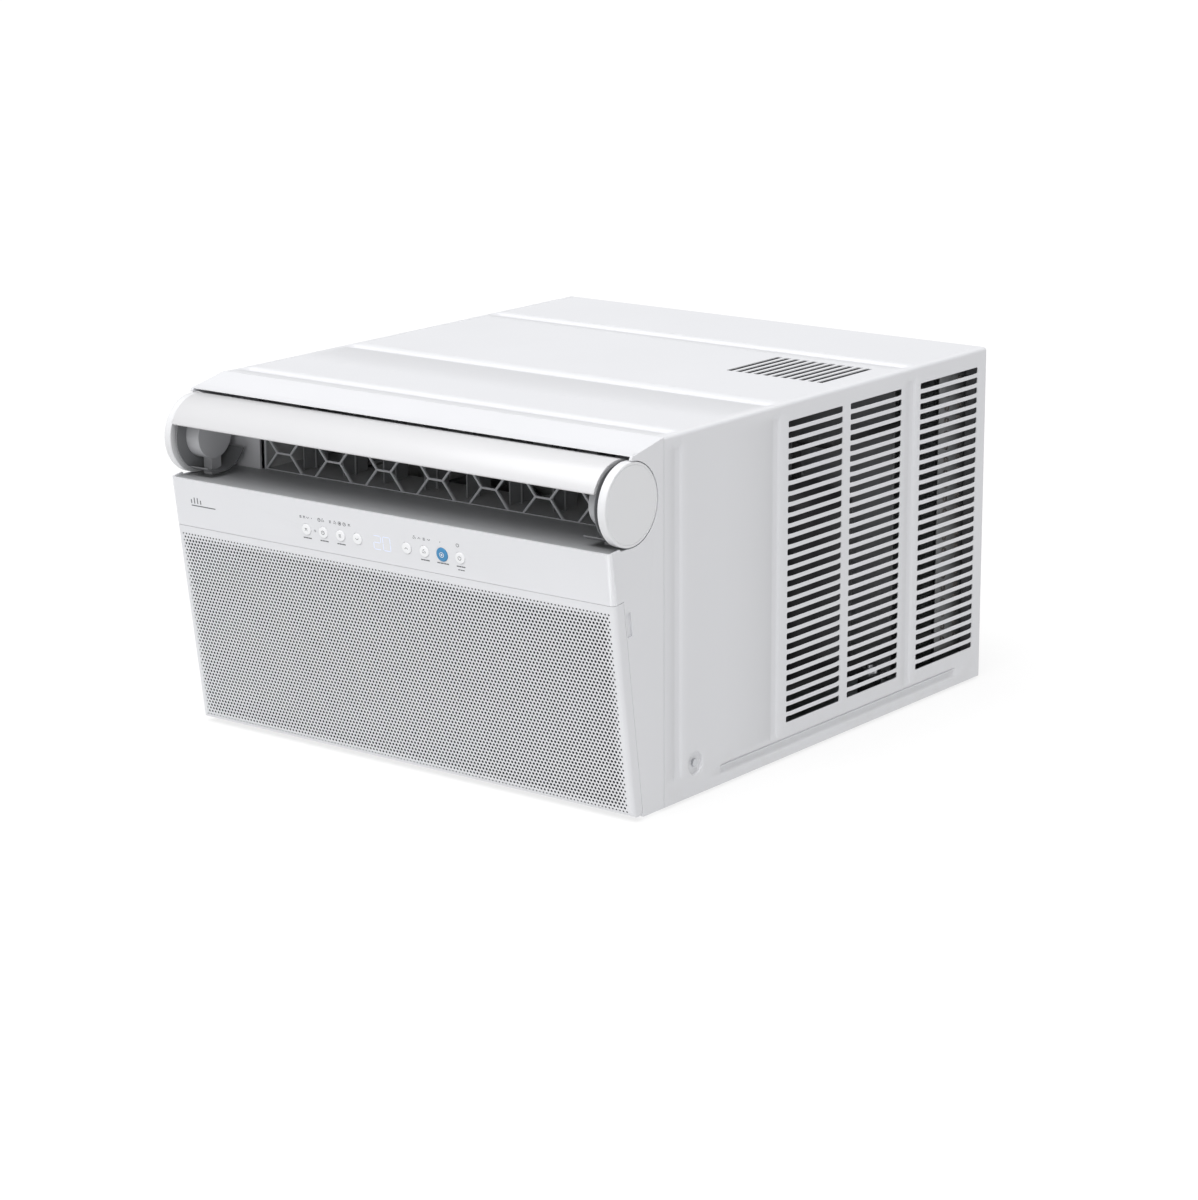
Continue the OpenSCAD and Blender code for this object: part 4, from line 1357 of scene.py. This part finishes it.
# Foam seals between the condenser and the cabinet's sides
seals = []
for sign in (-1, 1):
    near_x, far_x = sorted((sign * (half_w - 16.3), sign * (half_w - 3.4)))
    seal = slab("seal", (near_x, rear_y - 14.5, base_z + 6), (far_x, rear_y - 10.5, top_z - 15))
    rounded(seal, 1.2, 3, 30)
    seals.append(seal)
seals = joined("coil_seals", *seals)
smooth(seals)
finished(seals, "housing", seal_foam, "rubber")

for node in ("base_pads", "cord_gland"):
    piece = remade(node, node + "_moulded", edge=0.6)
    finished(piece, "housing", rubber, slot_of[node], node)
pan = remade("base_pan", "base_tray", edge=0.3)
finished(pan, "housing", galvanised, "galvanised", "base_pan")

for node, obj in nodes.items():
    if not obj.hide_render:
        finish = slot_finish[slot_of[node]]
        obj.data.materials.clear()
        obj.data.materials.append(finish)

# ---- floor, light and camera ----

bpy.ops.object.select_all(action="DESELECT")
bpy.ops.mesh.primitive_plane_add(size=60, location=(0, 0, 0))
floor = bpy.context.object
floor.name = "studio_floor"
ground = Finish("studio_floor", Roughness=0.9, Specular_IOR_Level=0.1, Emission_Strength=0.78)
floor.data.materials.append(
    ground.set(
        Base_Color=ground.blend(ground.noise(0.002), (0.19, 0.19, 0.19), (0.21, 0.21, 0.21)),
        Emission_Color=ground.blend(ground.noise(0.002), (0.99, 0.99, 0.99), (1.0, 1.0, 1.0)),
    )
)

world = bpy.data.worlds.new("studio")
world.use_nodes = True
world.node_tree.nodes["Background"].inputs["Color"].default_value = (1.0, 1.0, 1.0, 1)
world.node_tree.nodes["Background"].inputs["Strength"].default_value = 0.38
bpy.context.scene.world = world
bpy.context.scene.view_settings.view_transform = "Standard"


def lamp(name, kind, place, aim, energy, **settings):
    data = bpy.data.lights.new(name, kind)
    data.energy = energy
    for key, value in settings.items():
        setattr(data, key, value)
    obj = bpy.data.objects.new(name, data)
    bpy.context.scene.collection.objects.link(obj)
    obj.location = place
    obj.rotation_euler = (Vector(aim) - Vector(place)).to_track_quat("-Z", "Y").to_euler()
    return obj


lamp("broad_top", "SUN", (-0.03, -0.35, 1.0), (0, 0, 0), 3.3, angle=math.radians(60))
lamp("front_fill", "SUN", (0.50, -0.8, 0.15), (0, 0, 0), 0.34, angle=math.radians(12))

azimuth, elevation, roll = (math.radians(a) for a in (37.714, 14.691, -0.303))
back = Vector(
    (
        math.sin(azimuth) * math.cos(elevation),
        -math.cos(azimuth) * math.cos(elevation),
        math.sin(elevation),
    )
)
right = Vector((math.cos(azimuth), math.sin(azimuth), 0))
up = back.cross(right)
right, up = (
    math.cos(roll) * right + math.sin(roll) * up,
    math.cos(roll) * up - math.sin(roll) * right,
)
camera_data = bpy.data.cameras.new("camera")
camera_data.lens = 99.74
camera_data.sensor_width = 36
camera_data.clip_end = 200
camera = bpy.data.objects.new("camera", camera_data)
bpy.context.scene.collection.objects.link(camera)
camera_place = Vector((2.0724, -2.6579, 0.9968))
camera_turn = Matrix((right, up, back)).transposed().to_4x4()
camera.matrix_world = Matrix.Translation(camera_place) @ camera_turn
bpy.context.scene.camera = camera
